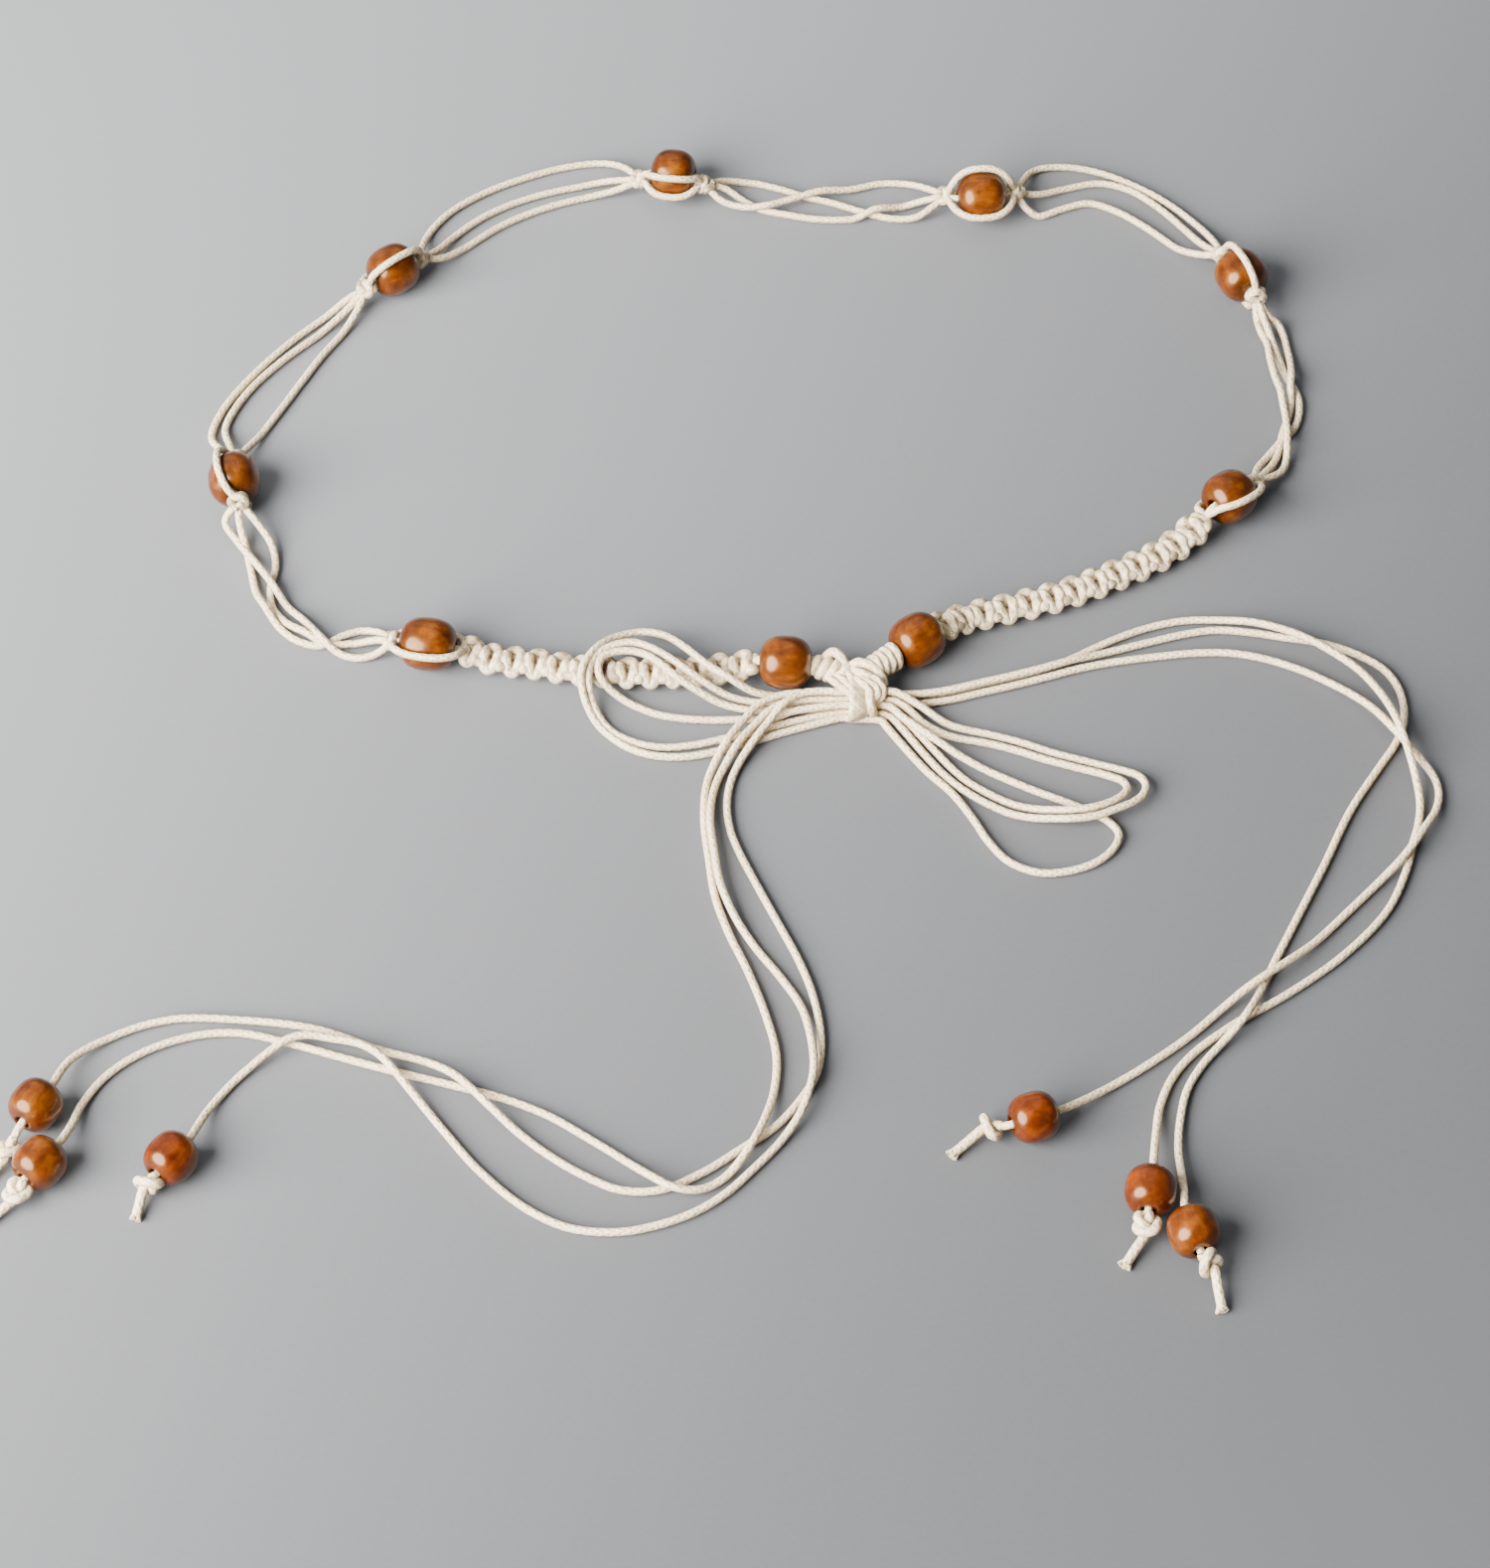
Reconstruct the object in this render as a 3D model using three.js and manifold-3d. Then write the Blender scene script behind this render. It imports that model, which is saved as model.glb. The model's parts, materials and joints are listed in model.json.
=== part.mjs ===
// A tie belt of three waxed cotton cords and fifteen wooden barrel beads. It lies on a flat
// surface as an oval loop, knotted round seven beads, and is tied in a bow at the front.
// Millimetres, +Z up. The surface is z = 0, and the origin is under the middle of the loop.
import * as THREE from 'three';
import { mergeVertices } from 'three/addons/utils/BufferGeometryUtils.js';
import Module from 'manifold-3d';

const wasm = await Module();
wasm.setup();

// Driving dimensions
const CORD_D = 2;
const CORD_R = CORD_D / 2;
const BEAD_D = 11;
const BEAD_L = 10.5;
const END_BEAD_D = 10.4;
const END_BEAD_L = 10;
const BORE_D = 4;
const GAP = 0.3;
const KNOT_HALF = { along: 1.8, across: 2.6, up: 2.2 };
const THROAT_SIZE = [1.9, 1.9, 1.6];
const LEAVING = 0.3;
const END_KNOT_R = 2.3;
const WRAP_R = 3.7;
const WRAP_CLEAR = 1.3;
const BRAID_WIDTH = 8.6;
const BRAID_WAIST = 6;
const BRAID_HEIGHT = 5.2;
const BRAID_KNOTS = 13;
// How far each degree of tilt lifts a bead's middle, so that its belly stays on the surface
const TILT_LIFT = 0.03;

// The routes below are measured from a point on the surface in front of the bow. The whole belt
// then moves by this much, which brings the middle of the loop to the origin.
const LOOP_CENTRE = { x: 2.5, y: 104.8 };

// Fineness of the faceted cords
const FREE_CORD = { sides: 6, step: 3.2 * CORD_D };
const SPAN_CORD = { sides: 4, step: 10 };
const SIDE_CORD = { sides: 4, step: 5 };
const CORE_CORD = { sides: 4, step: 4.3 };
const KNOT_SIDES = { around: 6, down: 3 };
const BEAD_SIDES = 10;

// The seven beads of the loop, clockwise from the front left. Heading and tilt turn the bore,
// before and after are the knots at its two ends, and rolls are the places round the bead, from
// its left side over the top, where the two side cords pass.
const RING_BEADS = [
  { x: -69, y: 34.8, heading: 171, tilt: 0, before: [-61.4, 34.6, 4.2], after: [-76.7, 37.2, 4.4], rolls: [24, 204] },
  { x: -114.4, y: 83.9, heading: 97, tilt: 8, before: [-112.9, 76.2, 7.2], after: [-114.8, 91.7, 4.6], rolls: [60, 215] },
  { x: -82, y: 151.4, heading: 40, tilt: 0, before: [-87.7, 146.5, 4.6], after: [-76.1, 156.3, 4.6], rolls: [115, 325] },
  { x: -17, y: 183.8, heading: -8, tilt: 0, before: [-24.7, 183.2, 4.6], after: [-9.5, 181.4, 4.6], rolls: [134, 182] },
  { x: 55.8, y: 176.3, heading: 5, tilt: 0, before: [47.6, 177.8, 4.4], after: [64, 179, 4.4], rolls: [70, 185] },
  { x: 115.4, y: 149.6, heading: -65, tilt: 0, before: [111.6, 157.1, 5], after: [118.4, 142.2, 6.2], rolls: [95, 215] },
  { x: 108.2, y: 78.6, heading: 225, tilt: -10, before: [114.2, 84.3, 4.4], after: [102.6, 73.1, 5.4], rolls: [34, 220] },
];

// The three cords of each open run, between the knot after one bead and the knot before the next
const SPANS = [
  [
    [[-80.5, 35.6, 1.8], [-85, 35, 1], [-89, 36.4, 1.2], [-93, 40, 2.6], [-97, 45, 2.4], [-101, 50, 1.4],
      [-104.5, 55.5, 2.8], [-108.5, 61.5, 3], [-113, 69, 1.6], [-116, 73.6, 3.4]],
    [[-80.2, 41.8, 1.8], [-84, 43, 1], [-88.4, 41.4, 1], [-93, 38.6, 1], [-98, 40, 1], [-102.3, 43.8, 1.2],
      [-105.6, 48.5, 3], [-108, 54, 1.4], [-109.5, 60.5, 1], [-111.3, 68, 1.8], [-112.7, 72.6, 4.6]],
    [[-81, 39, 2.4], [-85.5, 39.2, 1], [-91, 38.9, 1], [-96.5, 41.2, 2.8], [-101, 45.2, 1.4], [-104.2, 50, 1],
      [-104.9, 56, 1], [-104.2, 62, 1], [-105.4, 68, 1.8], [-108.6, 72.4, 4]],
  ],
  [
    [[-119, 96.6, 3], [-121.2, 102, 1], [-119.4, 110, 1], [-115.7, 117.4, 1], [-110, 126, 1], [-103.4, 134.2, 1],
      [-97, 140.6, 1.4], [-92, 144.4, 3.4]],
    [[-116.6, 97.4, 2.8], [-118.2, 104.5, 1], [-116.4, 111, 1], [-112.5, 118.5, 1], [-106, 127, 1],
      [-98.8, 134.6, 1], [-93.4, 140.6, 2]],
    [[-112.6, 97, 2.6], [-109.5, 103.6, 1], [-105.6, 111.5, 1], [-101.5, 120, 1], [-97.5, 128, 1],
      [-93.3, 135, 1], [-90.2, 140.8, 2.4]],
  ],
  [
    [[-75.8, 161.2, 3], [-74.8, 167.6, 1], [-70, 175.5, 1], [-62, 182.3, 1], [-53, 187.3, 1], [-43, 191.2, 1],
      [-34, 192.4, 1.2], [-29, 189.6, 2.6]],
    [[-72.6, 160.8, 2.6], [-67.6, 168.4, 1], [-60, 175.6, 1], [-50.5, 180.9, 1], [-40.5, 184.2, 1], [-32.4, 185.4, 2]],
    [[-71, 158.6, 2.6], [-65.6, 163.8, 1], [-57.5, 171.2, 1], [-48, 176.9, 1], [-38.5, 180.5, 1], [-30.4, 182, 2.4]],
  ],
  [
    [[-5, 185, 2.4], [1, 185.8, 1], [8, 183.8, 1.4], [14.5, 181, 2.8], [21, 178.8, 2.8], [27.5, 176, 1.4],
      [34.5, 173.6, 1], [40.4, 173.4, 1.6], [44.4, 175.6, 3]],
    [[-5.2, 178, 2.4], [0.5, 176.2, 1], [6.5, 176.8, 1.2], [12.5, 179.3, 1], [18.5, 181.6, 1], [25, 183.2, 1],
      [32.5, 185.6, 1], [39, 184.9, 1.4], [43.6, 181.6, 3]],
    [[-4.8, 181.8, 3], [-0.5, 180.8, 1.8], [4, 177.6, 2.9], [9.5, 175, 1.2], [17, 173.4, 1], [25.5, 173.4, 1],
      [31, 175, 2.9], [37, 177.4, 1.2], [42.2, 178.2, 2.4]],
  ],
  [
    [[66.2, 185, 2.6], [69, 190, 1], [76, 191.3, 1], [84, 189.5, 1], [92, 185.2, 1], [99.5, 179.4, 1],
      [106, 172, 1.2], [110, 164, 3]],
    [[69.4, 180.6, 2.2], [77, 184, 1], [84.6, 185.6, 1], [91.5, 183.2, 1], [97.5, 177.8, 1], [103, 170.8, 1],
      [107.4, 163.4, 2.4]],
    [[66.4, 175.6, 2.6], [69.6, 174.4, 1], [75, 176.8, 1], [81.5, 178.8, 1], [88, 176, 1], [95, 170.2, 1],
      [101.4, 163.6, 1], [106.4, 159.6, 2.8]],
  ],
  [
    [[118, 137, 4], [119, 132, 1.8], [120.8, 124, 1], [122.3, 115, 1], [122.7, 106.5, 1], [121, 99.5, 1],
      [118.6, 94, 1.6], [116.6, 89.6, 3]],
    [[120.4, 137.2, 3.6], [122.2, 130.5, 1.8], [124, 122, 2.4], [124.9, 114, 2.9], [124.4, 105, 2.9],
      [122.8, 98, 2.2], [119.8, 91.8, 2.6]],
    [[122.2, 139.2, 3.6], [125.2, 132, 1.2], [126.2, 122.5, 1], [126.6, 114, 1], [126, 106, 1], [124.6, 98.4, 1],
      [122.2, 91.6, 1.4], [118.6, 87.2, 3]],
  ],
];

// The two sinnets at the front of the loop, from the bead's knot to the stopper bead
const BRAID_LEFT = [[-58.9, 34.2, 3.4], [-55, 33, 2.8], [-45.7, 31.7, 2.7], [-35.7, 29.8, 2.7], [-24.8, 29.1, 2.7],
  [-14, 29.3, 2.7], [-4, 30.2, 3], [1.2, 29.9, 4.6]];
const BRAID_RIGHT = [[44.2, 41.6, 4.6], [49, 45, 3], [56.8, 47.6, 2.7], [63.4, 49.6, 2.7], [70.1, 52, 2.7],
  [76.8, 55.1, 2.7], [83.5, 58.7, 2.7], [90.3, 62.6, 2.7], [96, 66.9, 3], [100.9, 71.4, 4.4]];

// The stopper beads, and the wound bundle from each one towards the bow
const STOPPERS = {
  left: { x: 8.8, y: 29.5, heading: 178, wrapTo: [20.2, 27.9, 5.1] },
  right: { x: 37.5, y: 36.1, heading: 37.7, wrapTo: [28.7, 28.9, 5.1] },
};

const BOW_KNOT = { x: 25, y: 20.5, length: 8.4, width: 9.6, height: 6.6 };
const BOW_NECK = { at: [24.6, 26.4, 4.9], size: [3.4, 2.8, 3.6] };

// The loops of the bow. Both ends of each go into the knot.
const BOW_LOOPS = {
  bow_loop_left_1: [[20.4, 16.3, 1.1], [14.5, 15.3, 1], [8.2, 13.6, 1], [2.6, 11.4, 1], [-1.7, 9.8, 1], [-6, 8.3, 1],
    [-12.8, 6.8, 1], [-19.9, 7.2, 1], [-25.4, 9.5, 1], [-30.7, 14.6, 1], [-34, 20.5, 3.1], [-35.4, 25.2, 6.1],
    [-35.2, 29.4, 6.5], [-32.6, 34.2, 6.4], [-28, 38.2, 4.9], [-22.5, 40.2, 4], [-17.6, 38.2, 4.9], [-13.2, 33.6, 6.4],
    [-8.6, 28.7, 6.6], [-4, 25.6, 5.9], [1.3, 23.9, 3], [6, 23.9, 1.3], [13, 24.1, 1.1], [20.4, 24.7, 1.1]],
  bow_loop_left_2: [[20.4, 18.4, 1.1], [14.5, 17.6, 1], [8.2, 16, 1], [2.6, 13.7, 1], [-4.5, 11.9, 1],
    [-10.5, 10.2, 1], [-17.5, 9.4, 1], [-23, 10.9, 1], [-27.8, 14.8, 1], [-31.3, 20.2, 2.7], [-33, 24.7, 6],
    [-33, 28.6, 6.5], [-30.5, 32.6, 6.5], [-26, 34.9, 6.3], [-21.2, 33.6, 6.4], [-16.6, 30.5, 6.5], [-12.6, 27, 6.3],
    [-8.2, 24.6, 4.4], [-3.7, 23, 2.3], [1.4, 22.2, 1.2], [7, 22, 1.1], [13, 22, 1.1], [20.4, 22.6, 1.1]],
  bow_loop_left_3: [[20.4, 19.4, 3], [15, 18.9, 2.9], [10, 18.2, 2.6], [6.4, 17.6, 1.1], [-1.3, 17.3, 1],
    [-8.2, 17.2, 1], [-14.8, 17.9, 1], [-20.9, 20.2, 1.2], [-25.7, 22.7, 3.3], [-29, 25.2, 6.1], [-30.5, 28.2, 6.7],
    [-28.9, 30.4, 6.5], [-25.8, 32.2, 6.5], [-22.4, 31, 6.5], [-18.6, 28.2, 6.5], [-14.7, 25.1, 6.1], [-10, 22.6, 4.2],
    [-5.2, 21, 2.1], [0.5, 20, 1.1], [7, 19.9, 1.1], [13, 19.9, 1.1], [20.4, 20.5, 1.1]],
  bow_loop_right_1: [[29.6, 22.6, 4.9], [32.6, 22, 4.9], [37.6, 19.4, 3.4], [44, 15.4, 1.6], [52.9, 13, 1], [59.7, 10.7, 1],
    [66.2, 7.9, 1], [75, 4.9, 1], [80.9, 2.6, 1.4], [84.3, 0.6, 1.9], [85.6, -1.9, 2.2], [85, -4.8, 2.4],
    [82.9, -7.1, 2.7], [78.8, -9.6, 3.2], [74.2, -11.6, 3.3], [69.5, -12.2, 3.2], [65.4, -11.6, 2.4], [61, -10.6, 1.4],
    [56.5, -9.1, 1], [52, -6.6, 1], [46.3, -2.2, 1], [42.4, 2, 1], [38.7, 7.2, 1], [33.9, 14, 1], [31.6, 17.3, 1],
    [29.6, 18.3, 1.1]],
  bow_loop_right_2: [[29.6, 21.5, 3], [32.4, 21, 3], [35.4, 18.4, 2.8], [38.5, 15.2, 2.2], [44, 12.4, 1.3], [52.8, 10.4, 1],
    [59.3, 8.2, 1], [64, 6.2, 1], [70.6, 3.9, 1], [77, 1.4, 1.4], [81, -1, 1.8], [81.5, -3.4, 2.1], [79.2, -6.4, 2.7],
    [74.3, -9.1, 3.3], [69.6, -9.8, 3.2], [65.6, -9.2, 2.4], [61.4, -8.1, 1.4], [57.2, -6.6, 1], [52.9, -4.2, 1],
    [47.6, -0.2, 1], [44.1, 3.8, 1], [40.4, 9, 1], [35.5, 15.6, 1], [32.7, 19.4, 1],
    [31, 20.4, 1], [29.6, 20.5, 1.1]],
  bow_loop_right_3: [[29.6, 15.5, 1.1], [30.5, 13.8, 1], [32.8, 10.2, 1], [38.8, 2.9, 1], [44.4, -3.7, 1], [48.7, -11, 1],
    [51.6, -16.8, 1], [55.8, -22.3, 1], [61.8, -25.2, 1], [67.4, -25, 1], [73.9, -22.6, 1], [78, -18.8, 1.2],
    [79.3, -14.9, 1.2], [77.2, -11.2, 1], [72.6, -8.1, 1], [68, -5.7, 1], [61.4, -2.5, 1], [52.6, 2.4, 1],
    [45.9, 6.6, 1.8], [41.6, 9.4, 3.1], [37.5, 12.6, 3.3], [34, 15.6, 3.2], [32, 18.2, 3.1], [30.9, 19.2, 3],
    [29.6, 19.4, 3]],
};

// The tails, from the bow knot to just before the end bead
const TAILS = {
  left_1: [[20.4, 22.2, 5], [16.5, 22.1, 5.1], [12, 21, 5.3], [8.2, 18, 5.4], [5.4, 14.6, 4.1], [2.5, 10.5, 3.3],
    [-0.8, 5.4, 1.8], [-2.9, 0.2, 1], [-3.8, -7, 1], [-3, -14, 1], [-1.1, -20, 1], [1.5, -26.3, 1], [4.6, -33.5, 1],
    [7.9, -41, 1], [10.9, -48, 1], [13.6, -56, 1], [15.2, -64, 1], [15.6, -71.5, 1], [14.6, -78, 1], [12, -83.4, 1],
    [6.6, -90.8, 1], [-0.6, -96.7, 1], [-9, -103, 1], [-17, -106.9, 1], [-25, -106.9, 1], [-33.1, -102.9, 1],
    [-40, -98, 1], [-46, -92.8, 1.3], [-51, -88, 2.5], [-55.6, -83.3, 3.3], [-59.8, -79, 2.8], [-65.2, -75.4, 1.6],
    [-75.2, -71.8, 1], [-88, -66.6, 1], [-103.2, -64.3, 1], [-118, -64.1, 1], [-130, -68.7, 1], [-137.4, -75.4, 2.6]],
  left_2: [[20.4, 23.7, 3], [16.5, 23.6, 3.1], [8.4, 22.6, 3.2], [3.2, 19.9, 3.3], [-0.4, 15, 3.3],
    [-3.6, 9.8, 3.5], [-6.5, 4.4, 1.8], [-8.2, -1.1, 1], [-8.7, -10.8, 1], [-7.5, -22.5, 1], [-6.2, -32, 1],
    [-3.2, -42, 1], [0.4, -51, 1], [4, -62, 1], [6.4, -73, 1], [6, -82, 1.1], [4.3, -89.4, 2.4], [2.2, -95.3, 3.3],
    [-0.4, -99.9, 2.6], [-3.6, -103.6, 1.3], [-7, -106.2, 1.2], [-10.4, -107.6, 2], [-14.6, -107.6, 3.2],
    [-18.6, -105, 3], [-22.6, -101, 1.2], [-33.3, -93, 1], [-39.8, -88.6, 1], [-49, -84.3, 1], [-61.3, -80.4, 1],
    [-72.2, -77.2, 1], [-83.3, -73.6, 1], [-92.8, -70.4, 1], [-104, -67.6, 1], [-113.3, -68.4, 1], [-123, -72.4, 1],
    [-130.4, -78.8, 1], [-134.4, -86, 1.5],
    [-136, -93, 3.3]],
  left_3: [[20.4, 21.6, 3], [14, 21.2, 3.1], [9, 20.1, 3.5], [5.4, 17.7, 3.7], [1.9, 13.6, 3.3], [-1.5, 8.7, 3.3],
    [-4.3, 3.6, 1.9], [-6, -1.5, 1], [-6.5, -11, 1], [-5.3, -21, 1], [-3.9, -29, 1], [-1.2, -37.6, 1],
    [2.2, -45.4, 1], [7.5, -53.4, 1], [11.6, -61, 1.2], [13.6, -70.6, 2.7], [14, -78.2, 3.3], [12.9, -84.2, 3.3],
    [11, -89.4, 2.5], [7, -95.4, 1.2], [2.2, -101.2, 1], [-3.4, -107.4, 1], [-9.5, -112, 1], [-16.6, -115.2, 1],
    [-25, -117.1, 1], [-34.8, -116.2, 1], [-43.5, -111.6, 1], [-53.5, -102.1, 1], [-61, -92.2, 1], [-67.4, -83.7, 2],
    [-71.6, -78.5, 3.3], [-74.6, -74.8, 3.3], [-78.6, -71.9, 3], [-84.5, -70.2, 2.6], [-90, -69.6, 3.1],
    [-93.6, -70.8, 3.2], [-97.4, -73.4, 2.2], [-104.2, -80.2, 1], [-108.6, -87.4, 1.6], [-110.4, -93, 3.5]],
  right_1: [[29.6, 22.6, 1.1], [37.5, 21.9, 1], [44.2, 22.9, 1], [51.2, 25, 1], [58, 27, 1], [65, 29.3, 1],
    [71.7, 31.6, 1], [76.8, 33, 1], [83.4, 34.4, 1], [91, 35.6, 1], [98.4, 36.5, 1], [106.1, 36.5, 1],
    [113.3, 34.9, 1], [120.7, 31.8, 1], [126.4, 28.4, 1], [131.6, 24, 1.7], [135.9, 18.8, 2.8], [139.2, 13.6, 3.3],
    [142, 9.2, 3.2], [145.2, 4.8, 2], [147.6, 0.8, 1.1], [148.2, -3.6, 1], [147, -8.8, 1.7], [144.3, -14, 2.8],
    [141.6, -18.6, 3.3], [138.6, -22.6, 2.7], [134.4, -26.9, 1.4], [127, -35, 1], [118.6, -44.4, 1.5],
    [112.4, -50.4, 2.9], [107.8, -54.3, 3.6], [103.2, -57.6, 2.8], [99, -61, 1.6], [90.6, -69, 1], [81.1, -76.8, 1],
    [73.6, -82.4, 1.6], [68, -88, 3.8]],
  right_2: [[29.6, 24.8, 1.1], [37.5, 24.2, 1], [44.2, 25.3, 1], [51.2, 27.4, 1], [58, 29.4, 1],
    [65, 31.8, 1], [71.4, 34.8, 1], [76.5, 37.9, 1], [83, 41.5, 1], [90, 44.4, 1], [97, 46, 1], [104, 45.9, 1.3],
    [111.4, 44.2, 2.6], [118.5, 41.2, 3.3], [123.6, 38.4, 3.3], [128.6, 35, 2.8], [133.5, 30.4, 2.6],
    [137.3, 23.6, 3.4], [139.6, 16.6, 4.8], [141, 10.6, 5.4], [142.3, 4.6, 4.5], [143.4, -0.8, 2.7], [143.9, -6.4, 1.3],
    [143, -12.3, 1], [141.4, -17.5, 1], [139.6, -24.2, 1], [134.6, -35.4, 1], [124.3, -47.5, 1], [111, -58.3, 1],
    [103.8, -63, 1], [98.4, -67, 1], [91.6, -73, 1], [87, -79.2, 1], [84.2, -86.3, 1.1], [83, -93.4, 2.2],
    [82.2, -99.4, 4]],
  right_3: [[29.6, 23.7, 3], [37.5, 23.1, 2.9], [44.2, 24.2, 2.9], [51.2, 26.3, 2.9], [58, 28.3, 2.9],
    [65, 30.6, 2.9], [71.5, 33.2, 2.6], [76.7, 35.5, 1.5], [82.9, 37.8, 1], [89.7, 40, 1], [96.4, 42, 1],
    [103.4, 43.2, 1], [111.5, 42.4, 1], [118.8, 40.9, 1], [124.4, 39.9, 1], [129.6, 38.2, 1], [134.9, 35.4, 1],
    [139.4, 31.6, 1], [142, 26.5, 1], [142.8, 20.5, 1], [142.2, 15.4, 1], [140, 10.2, 1], [136.2, 4, 1],
    [129.1, -8, 1], [122.2, -23.3, 1], [115.5, -37.5, 1], [111, -47, 1], [108.2, -53.2, 1], [106, -58.4, 1.9],
    [103.8, -63.2, 3.5], [101, -67.2, 3], [97.4, -70.9, 1.5], [93.4, -75.8, 1], [90, -82, 1], [88.2, -89.3, 1],
    [87.3, -97, 1.5], [87.5, -104, 2.4],
    [87.6, -109, 3.8]],
};

// The end beads, with the knot under each and the cut end past it
const END_BEADS = {
  left_1: { x: -143.2, y: -88.9, heading: 242, knot: [-148.3, -98.4, 2.4], end: [-153.2, -105.6, 1] },
  left_2: { x: -141.1, y: -103.2, heading: 236, knot: [-145.3, -109.4, 3.7], end: [-151.6, -115.6, 1] },
  left_3: { x: -114.9, y: -102, heading: 236, knot: [-119, -108, 3.9], end: [-122, -114.8, 1] },
  right_1: { x: 58.2, y: -91.9, heading: 188, knot: [49.8, -92, 2.4], end: [41.8, -98.4, 1] },
  right_2: { x: 80.8, y: -110, heading: 262, knot: [79.6, -117.3, 3.8], end: [75, -126.6, 1] },
  right_3: { x: 88.8, y: -119.8, heading: 284, knot: [91.9, -127, 3.8], end: [94, -136.8, 1] },
};

const COTTON = new THREE.MeshStandardMaterial({ color: 0xe8dfce, roughness: 0.8, metalness: 0 });
const WOOD = new THREE.MeshStandardMaterial({ color: 0xa85e20, roughness: 0.3, metalness: 0 });

const radians = THREE.MathUtils.degToRad;

// A spline through points on the surface, which never dips lower than the cord's own radius
class LaidCurve extends THREE.Curve {
  constructor(points) {
    super();
    this.spline = new THREE.CatmullRomCurve3(points.map((point) => new THREE.Vector3(...point)));
  }

  getPoint(t, target = new THREE.Vector3()) {
    this.spline.getPoint(t, target);
    target.z = Math.max(target.z, CORD_R);
    return target;
  }
}

function roundSection(radius, sides) {
  const section = new THREE.Shape();
  for (let side = 0; side < sides; side += 1) {
    const angle = (side / sides) * 2 * Math.PI;
    const corner = [radius * Math.cos(angle), radius * Math.sin(angle)];
    if (side === 0) section.moveTo(...corner);
    else section.lineTo(...corner);
  }
  section.closePath();
  return section;
}

function cordGeometry(points, { sides, step }, radius = CORD_R) {
  const path = new LaidCurve(points);
  const steps = Math.max(2, Math.round(path.getLength() / step));
  return new THREE.ExtrudeGeometry(roundSection(radius, sides), { steps, bevelEnabled: false, extrudePath: path });
}

// The bead's bore runs along X. A flat of its belly faces down.
function beadGeometry(length, diameter) {
  const belly = diameter / 2 / Math.cos(Math.PI / BEAD_SIDES);
  const outline = [
    [BORE_D / 2, -0.5],
    [0.74 * belly, -0.5],
    [belly, -0.19],
    [belly, 0.19],
    [0.74 * belly, 0.5],
    [BORE_D / 2, 0.5],
    [BORE_D / 2, -0.5],
  ].map(([radius, along]) => new THREE.Vector2(radius, along * length));
  const geometry = new THREE.LatheGeometry(outline, BEAD_SIDES, Math.PI / BEAD_SIDES);
  geometry.rotateZ(-Math.PI / 2);
  return geometry;
}

function ellipsoidGeometry([x, y, z], [rx, ry, rz]) {
  const geometry = new THREE.SphereGeometry(1, KNOT_SIDES.around, KNOT_SIDES.down);
  geometry.scale(rx, ry, rz);
  geometry.translate(x, y, z);
  return geometry;
}

function solidOf(geometry) {
  const bare = geometry.clone();
  bare.deleteAttribute('normal');
  bare.deleteAttribute('uv');
  const merged = mergeVertices(bare);
  return new wasm.Manifold(new wasm.Mesh({
    numProp: 3,
    vertProperties: new Float32Array(merged.attributes.position.array),
    triVerts: new Uint32Array(merged.index.array),
  }));
}

function fuse(geometries) {
  const solid = geometries.map(solidOf).reduce((whole, piece) => whole.add(piece));
  const { vertProperties, triVerts } = solid.getMesh();
  const geometry = new THREE.BufferGeometry();
  geometry.setAttribute('position', new THREE.BufferAttribute(vertProperties, 3));
  geometry.setIndex(new THREE.BufferAttribute(triVerts, 1));
  geometry.computeVertexNormals();
  return geometry;
}

const belt = new THREE.Group();
belt.position.set(-LOOP_CENTRE.x, -LOOP_CENTRE.y, 0);

function place(name, geometry, material) {
  const mesh = new THREE.Mesh(geometry, material);
  mesh.name = name;
  belt.add(mesh);
  return mesh;
}

// Points of a bead's own frame, as shares of its length along the bore and millimetres across
function onBead(bead, diameter, length, points) {
  const turn = beadTurn(bead);
  const centre = beadCentre(bead, diameter);
  return points.map(([along, across, up]) => (
    new THREE.Vector3(along * length, across, up).applyEuler(turn).add(centre).toArray()
  ));
}

function beadTurn({ heading, tilt = 0 }) {
  return new THREE.Euler(0, radians(tilt), radians(heading), 'ZYX');
}

function beadCentre({ x, y, tilt = 0 }, diameter) {
  return new THREE.Vector3(x, y, diameter / 2 + TILT_LIFT * Math.abs(tilt));
}

function placeBead(name, bead, length, diameter) {
  const mesh = place(name, beadGeometry(length, diameter), WOOD);
  mesh.position.copy(beadCentre(bead, diameter));
  mesh.rotation.copy(beadTurn(bead));
}

// A knot of the two side cords round the core, turned to the bead's heading
function ringKnot([x, y, z], heading) {
  const geometry = new THREE.SphereGeometry(1, KNOT_SIDES.around, KNOT_SIDES.down);
  geometry.scale(KNOT_HALF.along, KNOT_HALF.across, KNOT_HALF.up);
  geometry.rotateZ(radians(heading));
  geometry.translate(x, y, z);
  return geometry;
}

// A side cord leaves one knot, clears the bead by the gap at this roll angle, and joins the other
function sideCord(bead, roll) {
  const reach = BEAD_D / 2 + CORD_R + 2 * GAP;
  const across = reach * Math.cos(radians(roll));
  const up = reach * Math.sin(radians(roll));
  const bow = [[-0.58, 0.78], [-0.32, 0.99], [0, 1.03], [0.32, 0.99], [0.58, 0.78]];
  const points = bow.map(([along, out]) => [along, out * across, out * up]);
  return cordGeometry([bead.before, ...onBead(bead, BEAD_D, BEAD_L, points), bead.after], SIDE_CORD);
}

// The core cord lies low in the bore, where the knots' weight draws it
function coreCord(bead) {
  const sag = (BORE_D / 2 - CORD_R) / 2;
  const inside = onBead(bead, BEAD_D, BEAD_L, [[-0.5, 0, -sag], [0, 0, -sag], [0.5, 0, -sag]]);
  return cordGeometry([bead.before, ...inside, bead.after], CORE_CORD);
}

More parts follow.
